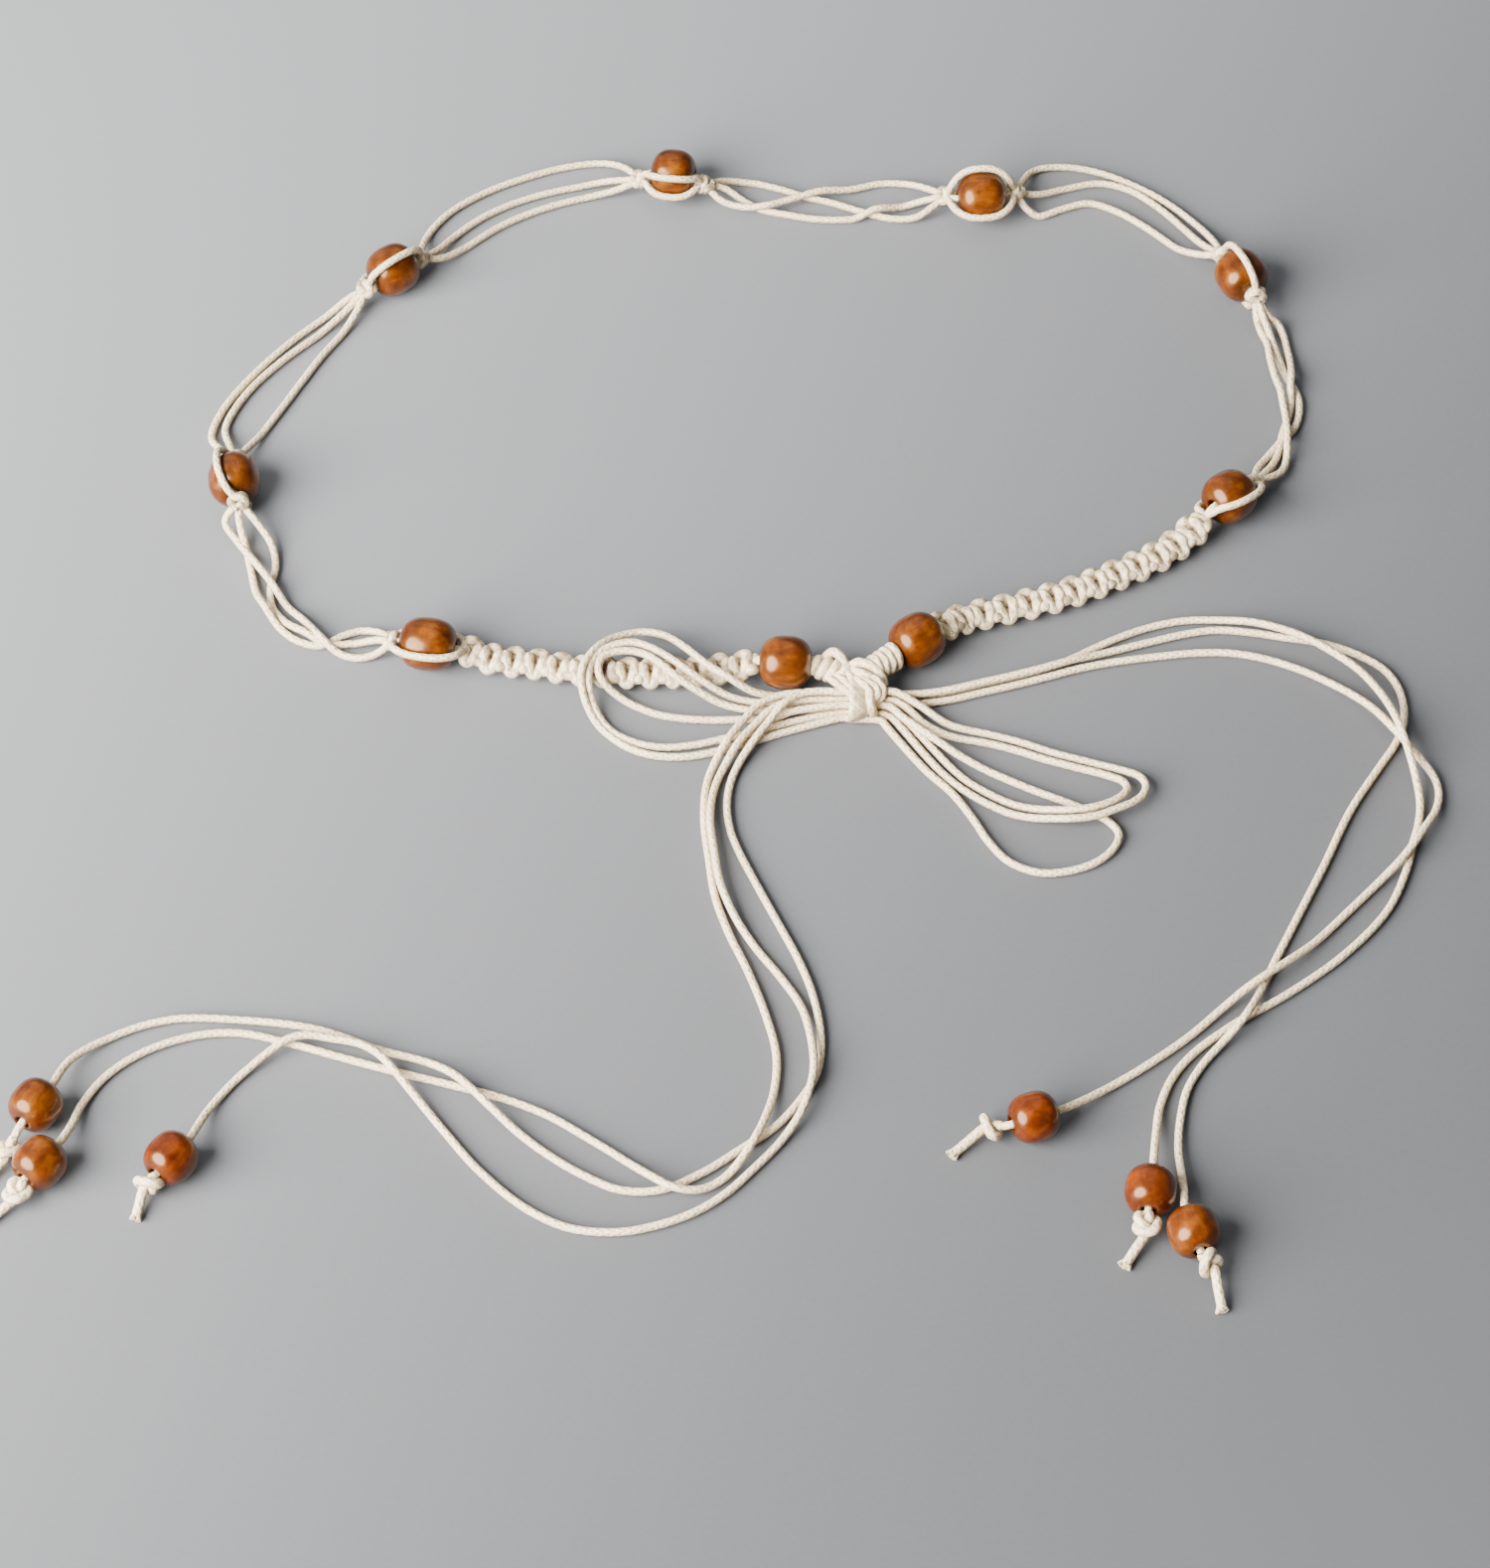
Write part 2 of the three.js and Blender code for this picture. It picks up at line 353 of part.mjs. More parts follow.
function cradleGeometry(bead) {
  return fuse([
    ringKnot(bead.before, bead.heading),
    ringKnot(bead.after, bead.heading),
    coreCord(bead),
    ...bead.rolls.map((roll) => sideCord(bead, roll)),
  ]);
}

// Where the cords of a run come together, just clear of a knot
function throat(knot, heading, side) {
  const clear = KNOT_HALF.along + THROAT_SIZE[0] + GAP;
  const angle = radians(heading);
  return [knot[0] + side * clear * Math.cos(angle), knot[1] + side * clear * Math.sin(angle), knot[2]];
}

function spanGeometry(strands, from, to) {
  const start = throat(from.after, from.heading, 1);
  const end = throat(to.before, to.heading, -1);
  const leaving = (from, to) => from.map((value, axis) => value + LEAVING * (to[axis] - value));
  return fuse([
    ellipsoidGeometry(start, THROAT_SIZE),
    ellipsoidGeometry(end, THROAT_SIZE),
    ...strands.map((strand) => (
      cordGeometry([leaving(start, strand[0]), ...strand, leaving(end, strand.at(-1))], SPAN_CORD)
    )),
  ]);
}

// A closed skin over a row of rings that have the same number of points
function skin(rings) {
  const size = rings[0].length;
  const corners = rings.flat().flatMap((point) => point.toArray());
  const faces = [];
  for (let ring = 0; ring < rings.length - 1; ring += 1) {
    for (let side = 0; side < size; side += 1) {
      const here = ring * size + side;
      const next = ring * size + ((side + 1) % size);
      faces.push(here, next, next + size, here, next + size, here + size);
    }
  }
  const last = (rings.length - 1) * size;
  for (let side = 1; side < size - 1; side += 1) {
    faces.push(0, side + 1, side);
    faces.push(last, last + side, last + side + 1);
  }
  const geometry = new THREE.BufferGeometry();
  geometry.setAttribute('position', new THREE.Float32BufferAttribute(corners, 3));
  geometry.setIndex(faces);
  geometry.computeVertexNormals();
  return geometry;
}

// A sinnet of square knots: a flat band, wide at each knot and narrow between two knots
function braidGeometry(route) {
  const path = new THREE.CatmullRomCurve3(route.map((point) => new THREE.Vector3(...point)));
  const stations = 2 * BRAID_KNOTS;
  const rings = [];
  for (let station = 0; station <= stations; station += 1) {
    const t = station / stations;
    const centre = path.getPointAt(t);
    const along = path.getTangentAt(t);
    const across = new THREE.Vector3(-along.y, along.x, 0).normalize();
    const wide = station % 2 === 1;
    const halfWidth = (wide ? BRAID_WIDTH : BRAID_WAIST) / 2;
    const halfHeight = BRAID_HEIGHT / 2 - (wide ? 0 : 0.4);
    rings.push([0, 60, 120, 180, 240, 300].map((degrees) => {
      const out = halfWidth * Math.cos(radians(degrees));
      const up = halfHeight * Math.sin(radians(degrees)) / Math.sin(radians(60));
      return centre.clone().addScaledVector(across, out).add(new THREE.Vector3(0, 0, up));
    }));
  }
  return skin(rings);
}

// The bundle wound round the cords beside a stopper bead, and its cords in the bead's bore
function wrapGeometry({ x, y, heading, wrapTo }, towardsBow) {
  const along = new THREE.Vector3(Math.cos(radians(heading)), Math.sin(radians(heading)), 0);
  const centre = new THREE.Vector3(x, y, BEAD_D / 2);
  const mouth = centre.clone().addScaledVector(along, towardsBow * (BEAD_L / 2 + WRAP_CLEAR));
  const farEnd = centre.clone().addScaledVector(along, -towardsBow * (BEAD_L / 2 + GAP));
  const end = new THREE.Vector3(...wrapTo);
  const length = mouth.distanceTo(end);
  const turns = [[0, 0], [1, 0.08], [0.88, 0.3], [1, 0.46], [0.88, 0.62], [1.04, 0.8], [0.8, 1], [0, 1]];
  const wound = new THREE.LatheGeometry(turns.map(([out, up]) => new THREE.Vector2(out * WRAP_R, up * length)), 8);
  wound.applyQuaternion(new THREE.Quaternion().setFromUnitVectors(
    new THREE.Vector3(0, 1, 0),
    end.clone().sub(mouth).normalize(),
  ));
  wound.translate(...mouth.toArray());
  const inWrap = mouth.clone().addScaledVector(along, towardsBow * CORD_R);
  const bundle = [farEnd, inWrap].map((point) => point.toArray());
  return fuse([wound, cordGeometry(bundle, SPAN_CORD, BORE_D / 2 - GAP)]);
}

function bowKnotGeometry() {
  const { x, y, length, width, height } = BOW_KNOT;
  const bevel = 0.6;
  const corner = 1.6;
  const halfWidth = width / 2 - bevel;
  const top = height - bevel;
  const section = new THREE.Shape();
  section.moveTo(-halfWidth + corner, bevel);
  section.lineTo(halfWidth - corner, bevel);
  section.lineTo(halfWidth, bevel + corner);
  section.lineTo(halfWidth, top - corner);
  section.lineTo(halfWidth - corner, top);
  section.lineTo(-halfWidth + corner, top);
  section.lineTo(-halfWidth, top - corner);
  section.lineTo(-halfWidth, bevel + corner);
  section.closePath();
  const block = new THREE.ExtrudeGeometry(section, {
    depth: length - 2 * bevel,
    bevelEnabled: true,
    bevelThickness: bevel,
    bevelSize: bevel,
    bevelSegments: 1,
  });
  block.translate(0, 0, -length / 2 + bevel);
  block.rotateX(Math.PI / 2);
  block.rotateZ(Math.PI / 2);
  block.translate(x, y, 0);
  return fuse([block, ellipsoidGeometry(BOW_NECK.at, BOW_NECK.size)]);
}

// A tail runs through its end bead and stops just short of the knot under it
function tailGeometry(route, bead) {
  const throughBead = onBead(bead, END_BEAD_D, END_BEAD_L, [[-0.55, 0, -GAP], [0, 0, -GAP], [0.55, 0, -GAP]]);
  const mouth = new THREE.Vector3(...throughBead[2]);
  const knot = new THREE.Vector3(...bead.knot);
  const clear = (END_KNOT_R + GAP) / mouth.distanceTo(knot);
  return cordGeometry([...route, ...throughBead, knot.lerp(mouth, clear).toArray()], FREE_CORD);
}

function endKnotGeometry({ knot, end }) {
  const free = cordGeometry([knot, knot.map((value, axis) => (2 * value + end[axis]) / 3), end], SPAN_CORD);
  return fuse([ellipsoidGeometry(knot, [END_KNOT_R, END_KNOT_R, Math.min(END_KNOT_R, knot[2])]), free]);
}

RING_BEADS.forEach((bead, index) => {
  placeBead(`ring_bead_${index + 1}`, bead, BEAD_L, BEAD_D);
  place(`cradle_${index + 1}`, cradleGeometry(bead), COTTON);
});

SPANS.forEach((strands, index) => {
  place(`span_${index + 1}`, spanGeometry(strands, RING_BEADS[index], RING_BEADS[index + 1]), COTTON);
});

place('braid_left', braidGeometry(BRAID_LEFT), COTTON);
place('braid_right', braidGeometry(BRAID_RIGHT), COTTON);

placeBead('stopper_bead_left', STOPPERS.left, BEAD_L, BEAD_D);
placeBead('stopper_bead_right', STOPPERS.right, BEAD_L, BEAD_D);
place('wrap_left', wrapGeometry(STOPPERS.left, -1), COTTON);
place('wrap_right', wrapGeometry(STOPPERS.right, -1), COTTON);
place('bow_knot', bowKnotGeometry(), COTTON);

for (const [name, route] of Object.entries(BOW_LOOPS)) {
  place(name, cordGeometry(route, FREE_CORD), COTTON);
}

for (const [side, bead] of Object.entries(END_BEADS)) {
  place(`tail_${side}`, tailGeometry(TAILS[side], bead), COTTON);
  placeBead(`end_bead_${side}`, bead, END_BEAD_L, END_BEAD_D);
  place(`end_knot_${side}`, endKnotGeometry(bead), COTTON);
}

export default belt;
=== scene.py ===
"""A tie belt of three waxed cotton cords and fifteen wooden beads, lying on a pale surface.

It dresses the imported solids: every cord is laid strand by strand along the route of its solid, or
near it, the knots are crossing cords that cut into one another where they are drawn tight, and
each bead is turned and varnished. Routes are in millimetres from a point on the surface in front
of the bow, as in the part's source, and laid() moves them to the frame, in metres, with the middle
of the loop at the origin. A point of a route that gives no height lies on the surface."""

import json
import random
from math import asin, ceil, copysign, cos, pi, radians, sin

import bpy
from mathutils import Euler, Matrix, Vector

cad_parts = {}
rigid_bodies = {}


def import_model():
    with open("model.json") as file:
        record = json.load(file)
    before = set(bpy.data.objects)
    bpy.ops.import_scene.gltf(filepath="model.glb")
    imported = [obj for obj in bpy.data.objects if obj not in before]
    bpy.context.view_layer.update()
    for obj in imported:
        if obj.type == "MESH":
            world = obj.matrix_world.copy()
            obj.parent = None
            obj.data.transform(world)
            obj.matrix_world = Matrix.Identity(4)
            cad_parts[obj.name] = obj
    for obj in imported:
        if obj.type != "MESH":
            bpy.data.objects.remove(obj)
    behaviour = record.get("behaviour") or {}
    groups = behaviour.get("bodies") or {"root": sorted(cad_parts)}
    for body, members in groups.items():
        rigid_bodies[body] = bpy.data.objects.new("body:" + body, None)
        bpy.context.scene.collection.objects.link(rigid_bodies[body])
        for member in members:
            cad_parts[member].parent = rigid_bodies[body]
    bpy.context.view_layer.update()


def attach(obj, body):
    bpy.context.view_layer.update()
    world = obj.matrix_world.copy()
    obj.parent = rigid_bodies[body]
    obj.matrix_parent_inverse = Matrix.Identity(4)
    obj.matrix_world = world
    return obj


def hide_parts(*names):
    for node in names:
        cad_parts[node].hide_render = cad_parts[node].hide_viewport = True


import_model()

MM = 0.001
LOOP_CENTRE = Vector((2.5, 104.8, 0))

# Camera, with its distance in metres
ELEVATION = radians(50)
DISTANCE = 1.0638
FOCAL_PX = 5000
FRAME_HEIGHT_PX = 1578
SENSOR_MM = 36

# Sizes, in millimetres
CORD_D = 2.0
CORD_R = CORD_D / 2
LAID_D = 1.7
KNOT_CORD_D = 2.05
RING_KNOT_CORD_D = 1.95
SINNET_CORD_D = 2.4
WINDING_D = 2.2
BEAD_D = 11.7
BEAD_L = 11.5
END_BEAD_D = 10.4
END_BEAD_L = 10
BORE_D = 3.2

# How much higher a bead lies for each degree of tilt
TILT_LIFT = 0.03

# Where cords pass beads: the gap to an end bead's bore and knot, how far along that bore the cord
# is led each way, how far the core sags in a ring bead, and the gaps to a bead's side and mouth
GAP = 0.3
BORE_REACH = 5.5
CORE_DROP = 0.5
SIDE_CORD_GAP = 0.05
MOUTH_GAP = 1

# The proportions of the square knots in the sinnets and beside the ring beads
SINNET = dict(
    half_pitch=2.6, half_width=2.75, half_height=1.45, front_ease=0.3, back_ease=0.9, gather=0.4,
    tuck=0.75, lag=0.3, taper=1.0, core_spread=0.95, core_diameter=2.1,
)
RING_KNOT = dict(
    half_pitch=2.1, half_width=1.75, half_height=1.4, front_ease=0.3, back_ease=0.4, gather=0.0,
    tuck=1.0, lag=0.3, taper=1.5, core_spread=0.3, core_diameter=0.8,
)

# The cords' section and skin
CORD_SIDES = 12
CORD_UNEVENNESS = 0.06
KNOT_UNEVENNESS = 0.05
YARN_STARTS = 4
YARN_LAY = 2.2
FIBRE_LAY = 6

# Steps along routes
ROUTE_STEP = 0.8
FINE_STEP = 0.4

# A bead's barrel: how square its outline is, and its facets along and around
BARREL_POWER = 2.6
BARREL_STEPS = 11
BEAD_SIDES = 44

# A side cord's way round a bead: shares of the bead's length along it and of the radius out from it
SIDE_BOW = [
    (-0.58, 0.52), (-0.46, 0.76), (-0.27, 0.95), (0, 1.01), (0.27, 0.95), (0.46, 0.76), (0.58, 0.52),
]

# An end knot is tied loosely with this reach, then drawn in by smoothing it and pushing apart its
# turns, except where they are nearer along the cord than so many gaps
KNOT_REACH = 8
KNOT_HALF_LENGTH = 2.3
KNOT_NEIGHBOURS = 1.6
KNOT_TURN_GAP = 1.75
KNOT_POINTS = 40
KNOT_ROUNDS = 240
SMOOTHING = 0.4
PUSH = 0.3

# The brush of yarns at a cut end, and the loose fibres on it
YARNS_IN_A_CORD = 7
YARN_D = 0.78
FRAY_R = 0.6
FRAY_SIDES = 8

# The beads round the loop: where each is, which way its bore points and is tilted, the knots before
# and after it, and how far round it each side cord passes
RING_BEADS = [
    dict(x=-69, y=34.8, heading=171, length=12.4, rolls=[24, 204],
         before=[-61.4, 34.6, 4.2], after=[-76.7, 37.2, 4.4]),
    dict(x=-114.4, y=83.9, heading=97, tilt=8, rolls=[60, 248],
         before=[-112.9, 76.2, 7.2], after=[-114.8, 91.7, 4.6]),
    dict(x=-82, y=151.4, heading=40, rolls=[115, 325],
         before=[-87.7, 146.5, 4.6], after=[-76.1, 156.3, 4.6]),
    dict(x=-17, y=183.8, heading=-8, length=10.5, rolls=[146, 189],
         before=[-24.7, 183.2, 4.6], after=[-9.5, 181.4, 4.6]),
    dict(x=55.8, y=176.3, heading=5, rolls=[70, 185],
         before=[47.6, 177.8, 4.4], after=[64, 179, 4.4]),
    dict(x=115.4, y=149.6, heading=-65, rolls=[95, 264],
         before=[111.6, 157.1, 5], after=[118.4, 142.2, 6.2]),
    dict(x=108.2, y=78.6, heading=225, tilt=-10, rolls=[34, 220],
         before=[114.2, 84.3, 4.4], after=[102.6, 73.1, 5.4]),
]

# The open runs between one bead and the next, three strands in each
SPANS = [
    [
        [(-80.5, 35.6, 1.8), (-85, 35), (-89, 36.4, 1.2), (-93, 40, 2.6), (-97, 45, 2.4), (-101, 50, 1.4),
         (-104.5, 55.5, 2.8), (-108.5, 61.5, 3), (-113, 69, 1.6), (-116, 73.6, 3.4)],
        [(-80.2, 41.8, 1.8), (-84, 43), (-88.4, 41.4), (-93, 38.6), (-98, 40), (-102.3, 43.8, 1.2),
         (-105.6, 48.5, 3), (-108, 54, 1.4), (-109.5, 60.5), (-111.3, 68, 1.8), (-112.7, 72.6, 4.6)],
        [(-81, 39, 2.4), (-85.5, 39.2), (-91, 38.9), (-96.5, 41.2, 2.8), (-101, 45.2, 1.4), (-104.2, 50),
         (-104.9, 56), (-104.2, 62), (-105.4, 68, 1.8), (-108.6, 72.4, 4)],
    ],
    [
        [(-119, 96.6, 3), (-121.2, 102), (-119.4, 110), (-115.7, 117.4), (-110, 126), (-103.4, 134.2),
         (-97, 140.6, 1.4), (-92, 144.4, 3.4)],
        [(-116.6, 97.4, 2.8), (-118.2, 104.5), (-116.4, 111), (-112.5, 118.5), (-106, 127),
         (-98.8, 134.6), (-93.4, 140.6, 2)],
        [(-112.6, 97, 2.6), (-109.5, 103.6), (-105.6, 111.5), (-101.5, 120), (-97.5, 128), (-93.3, 135),
         (-90.2, 140.8, 2.4)],
    ],
    [
        [(-75.8, 161.2, 3), (-74.8, 167.6), (-70, 175.5), (-62, 182.3), (-53, 187.3), (-43, 191.2),
         (-34, 192.4, 1.2), (-29, 189.6, 2.6)],
        [(-72.6, 160.8, 2.6), (-67.6, 168.4), (-60, 175.6), (-50.5, 180.9), (-40.5, 184.2),
         (-32.4, 185.4, 2)],
        [(-71, 158.6, 2.6), (-65.6, 163.8), (-57.5, 171.2), (-48, 176.9), (-38.5, 180.5),
         (-30.4, 182, 2.4)],
    ],
    [
        [(-5, 185, 2.4), (1, 185.8), (8, 183.8), (14.5, 181), (21, 178.8), (27.5, 176), (34.5, 173.6),
         (40.4, 173.4, 1.6), (44.4, 175.6, 3)],
        [(-5.2, 178, 2.4), (0.5, 176.2, 2.2), (5, 176.2, 2.9), (8.5, 177.7, 2.6), (13, 179.4, 2.7),
         (18, 181.2, 2.9), (25, 183.2, 1.4), (32.5, 185.6), (39, 184.9, 1.4), (43.6, 181.6, 3)],
        [(-4.8, 181.8, 3), (-0.5, 179.4, 1.4), (4, 176.6), (9.5, 175), (17, 173.4), (25.5, 173.4),
         (31, 175, 2.9), (37, 177.4, 1.2), (42.2, 178.2, 2.4)],
    ],
    [
        [(66.2, 185, 2.6), (69, 190), (76, 191.3), (84, 189.5), (92, 185.2), (99.5, 179.4),
         (106, 172, 1.2), (110, 164, 3)],
        [(69.4, 180.6, 2.2), (77, 184), (84.6, 185.6), (91.5, 183.2), (97.5, 177.8), (103, 170.8),
         (107.4, 163.4, 2.4)],
        [(66.4, 175.6, 2.6), (69.6, 174.4), (75, 176.8), (81.5, 178.8), (88, 176), (95, 170.2),
         (101.4, 163.6), (106.4, 159.6, 2.8)],
    ],
    [
        [(118.3, 137.4, 4.4), (119.3, 135.6, 1.6), (120.5, 130.5, 2.4), (120.8, 125.3, 2.8),
         (121.5, 119.3, 3), (122.4, 115.1, 3), (122.8, 110.7, 2.6), (123.1, 106.5, 2.6),
         (123, 100.7, 3.2), (122.7, 96.8, 3), (122.4, 94.1, 1.8), (121, 90.1, 2.2)],
        [(119.9, 136.6, 4.6), (121.1, 134.2, 2.6), (122.3, 129, 1.8), (123.5, 124.2, 1.2), (124.5, 120.7),
         (125.8, 117.5), (126.7, 113.3), (126.2, 108.1), (124.5, 103.7, 1.2), (122.4, 101.5, 1.2),
         (120.7, 99.2), (118.4, 95.9), (115.6, 90.9, 2.2)],
        [(121, 138, 4), (123.3, 137, 2.4), (124.6, 134.3, 1.2), (125.1, 130.6), (125.5, 125.2, 1.6),
         (125.3, 119.9, 2.9), (124.8, 116.1, 3), (124.7, 112.8, 1.6), (123.8, 108.1), (122.1, 102.5, 1.1),
         (121.1, 97.7), (119.1, 92.5, 1.8)],
    ],
]

# The sinnets' middle lines
BRAID_LEFT = [
    (-61.2, 34.7, 4.2), (-58.9, 34.2, 3.4), (-55, 33, 2.8), (-45.7, 31.7, 2.7), (-35.7, 29.8, 2.7),
    (-24.8, 29.1, 2.7), (-14, 29.3, 2.7), (-4, 30.2, 3), (1.2, 29.9, 4.6),
]
BRAID_RIGHT = [
    (44.2, 41.6, 4.6), (49, 45, 3), (56.8, 47.6, 2.7), (63.4, 49.6, 2.7), (70.1, 52, 2.7),
    (76.8, 55.1, 2.7), (83.5, 58.7, 2.7), (90.3, 62.6, 2.7), (96, 66.9, 3), (100.9, 71.4, 4.4),
    (102.2, 72.7, 5.2),
]

# The bow's loops, each from the bow round and back into it
BOW_LOOPS = {
    "bow_loop_left_1": [
        (20.4, 16.3, 1.1), (14.5, 15.3), (8.2, 13.6), (2.6, 11.4), (-1.7, 9.8), (-6, 8.3), (-12.8, 6.8),
        (-19.9, 7.2), (-25.4, 9.5), (-30.9, 14.6), (-33.9, 19.6, 2), (-35.4, 23.9, 5), (-35.3, 27, 6.8),
        (-33.9, 30.4, 6.9), (-31.4, 34.4, 6.3), (-28, 37.8, 4.9), (-22.5, 40, 4), (-17.6, 38.2, 4.9),
        (-13.2, 33.6, 6.4), (-8.6, 28.7, 6.6), (-4, 25.6, 5.9), (1.3, 23.9, 3), (6, 23.9, 1.3),
        (13, 24.1, 1.1), (20.4, 24.7, 1.1),
    ],
    "bow_loop_left_2": [
        (20.4, 18.4, 1.1), (14.5, 17.6), (8.2, 16), (2.6, 13.7), (-4.5, 11.9), (-10.5, 10.2),
        (-17.5, 9.4), (-23.2, 10.6), (-28.6, 13.8), (-31.6, 18, 1.2), (-33.3, 22.2, 2.6), (-33.9, 25, 5),
        (-33.6, 28.6, 6), (-31.8, 31.9, 6.2), (-28.6, 34.1, 6.4), (-24.5, 34.8, 6.5), (-20.9, 33.5, 6.5),
        (-16.6, 30.5, 6.5), (-12.6, 27, 6.3), (-8.2, 24.6, 4.4), (-3.7, 23, 2.3), (1.4, 22.2, 1.2),
        (7, 22, 1.1), (13, 22, 1.1), (20.4, 22.6, 1.1),
    ],
    "bow_loop_left_3": [
        (20.4, 19.4, 3), (15, 18.9, 2.9), (10, 18.2, 2.6), (6.4, 17.6, 1.1), (-1.3, 17.3), (-8.2, 17.2),
        (-14.2, 17.7), (-19.1, 18.8), (-22.7, 20.5), (-26.1, 22.4, 1.4), (-29.5, 24.5, 3),
        (-31.4, 26, 5.2), (-31.8, 28.2, 6.1), (-30.9, 30.8, 6.2), (-28.2, 32.4, 6.1), (-25, 32.7, 6.1),
        (-21.6, 31.6, 6.1), (-18.4, 28.9, 6.3), (-14.7, 25.1, 6.1), (-10, 22.6, 4.2), (-5.2, 21, 2.1),
        (0.5, 20, 1.1), (7, 19.9, 1.1), (13, 19.9, 1.1), (20.4, 20.5, 1.1),
    ],
    "bow_loop_right_1": [
        (29.6, 22.6, 4.9), (32.6, 22, 4.9), (37.6, 19.4, 3.4), (44, 15.4, 1.6), (52.9, 13), (59.7, 10.7),
        (66.2, 7.9), (75, 4.9), (80.9, 2.6, 1.4), (84.3, 0.6, 1.9), (85.6, -1.9, 2.2), (85, -4.8, 2.4),
        (82.9, -7.1, 2.7), (78.8, -9.6, 3.2), (74.2, -11.6, 3.3), (69.5, -12.2, 3.2), (65.4, -11.6, 2.4),
        (61, -10.6, 1.4), (56.5, -9.1), (52, -6.6), (46.3, -2.2), (42.4, 2), (38.7, 7.2), (33.9, 14),
        (31.6, 17.3), (29.6, 18.3, 1.1),
    ],
    "bow_loop_right_2": [
        (29.6, 21.5, 3), (32.4, 21, 3), (35.4, 18.4, 2.8), (38.5, 15.2, 2.2), (44, 12.4, 1.3),
        (52.8, 10.4), (59.3, 8.2), (64, 6.2), (70.6, 3.9), (77, 1.4, 1.4), (81, -1, 1.8),
        (81.5, -3.4, 2.1), (79.2, -6.4, 2.7), (74.3, -9.1, 3.3), (69.6, -9.8, 3.2), (65.6, -9.2, 2.4),
        (61.4, -8.1, 1.4), (57.2, -6.6), (52.9, -4.2), (47.6, -0.2), (44.1, 3.8), (40.4, 9), (35.5, 15.6),
        (32.7, 19.4), (31, 20.4), (29.6, 20.5, 1.1),
    ],
    "bow_loop_right_3": [
        (29.6, 15.5, 1.1), (30.5, 13.8), (32.8, 10.2), (38.8, 2.9), (44.4, -3.7), (48.7, -11),
        (51.6, -16.8), (55.8, -22.3), (61.8, -25.2), (67.4, -25), (73.9, -22.6), (78, -18.8, 1.2),
        (79.3, -14.9, 1.2), (77.2, -11.2), (72.6, -8.1), (68, -5.7), (61.4, -2.5), (52.6, 2.4),
        (45.9, 6.6, 1.8), (41.6, 9.4, 3.1), (37.5, 12.6, 3.3), (34, 15.6, 3.2), (32, 18.2, 3.1),
        (30.9, 19.2, 3), (29.6, 19.4, 3),
    ],
}

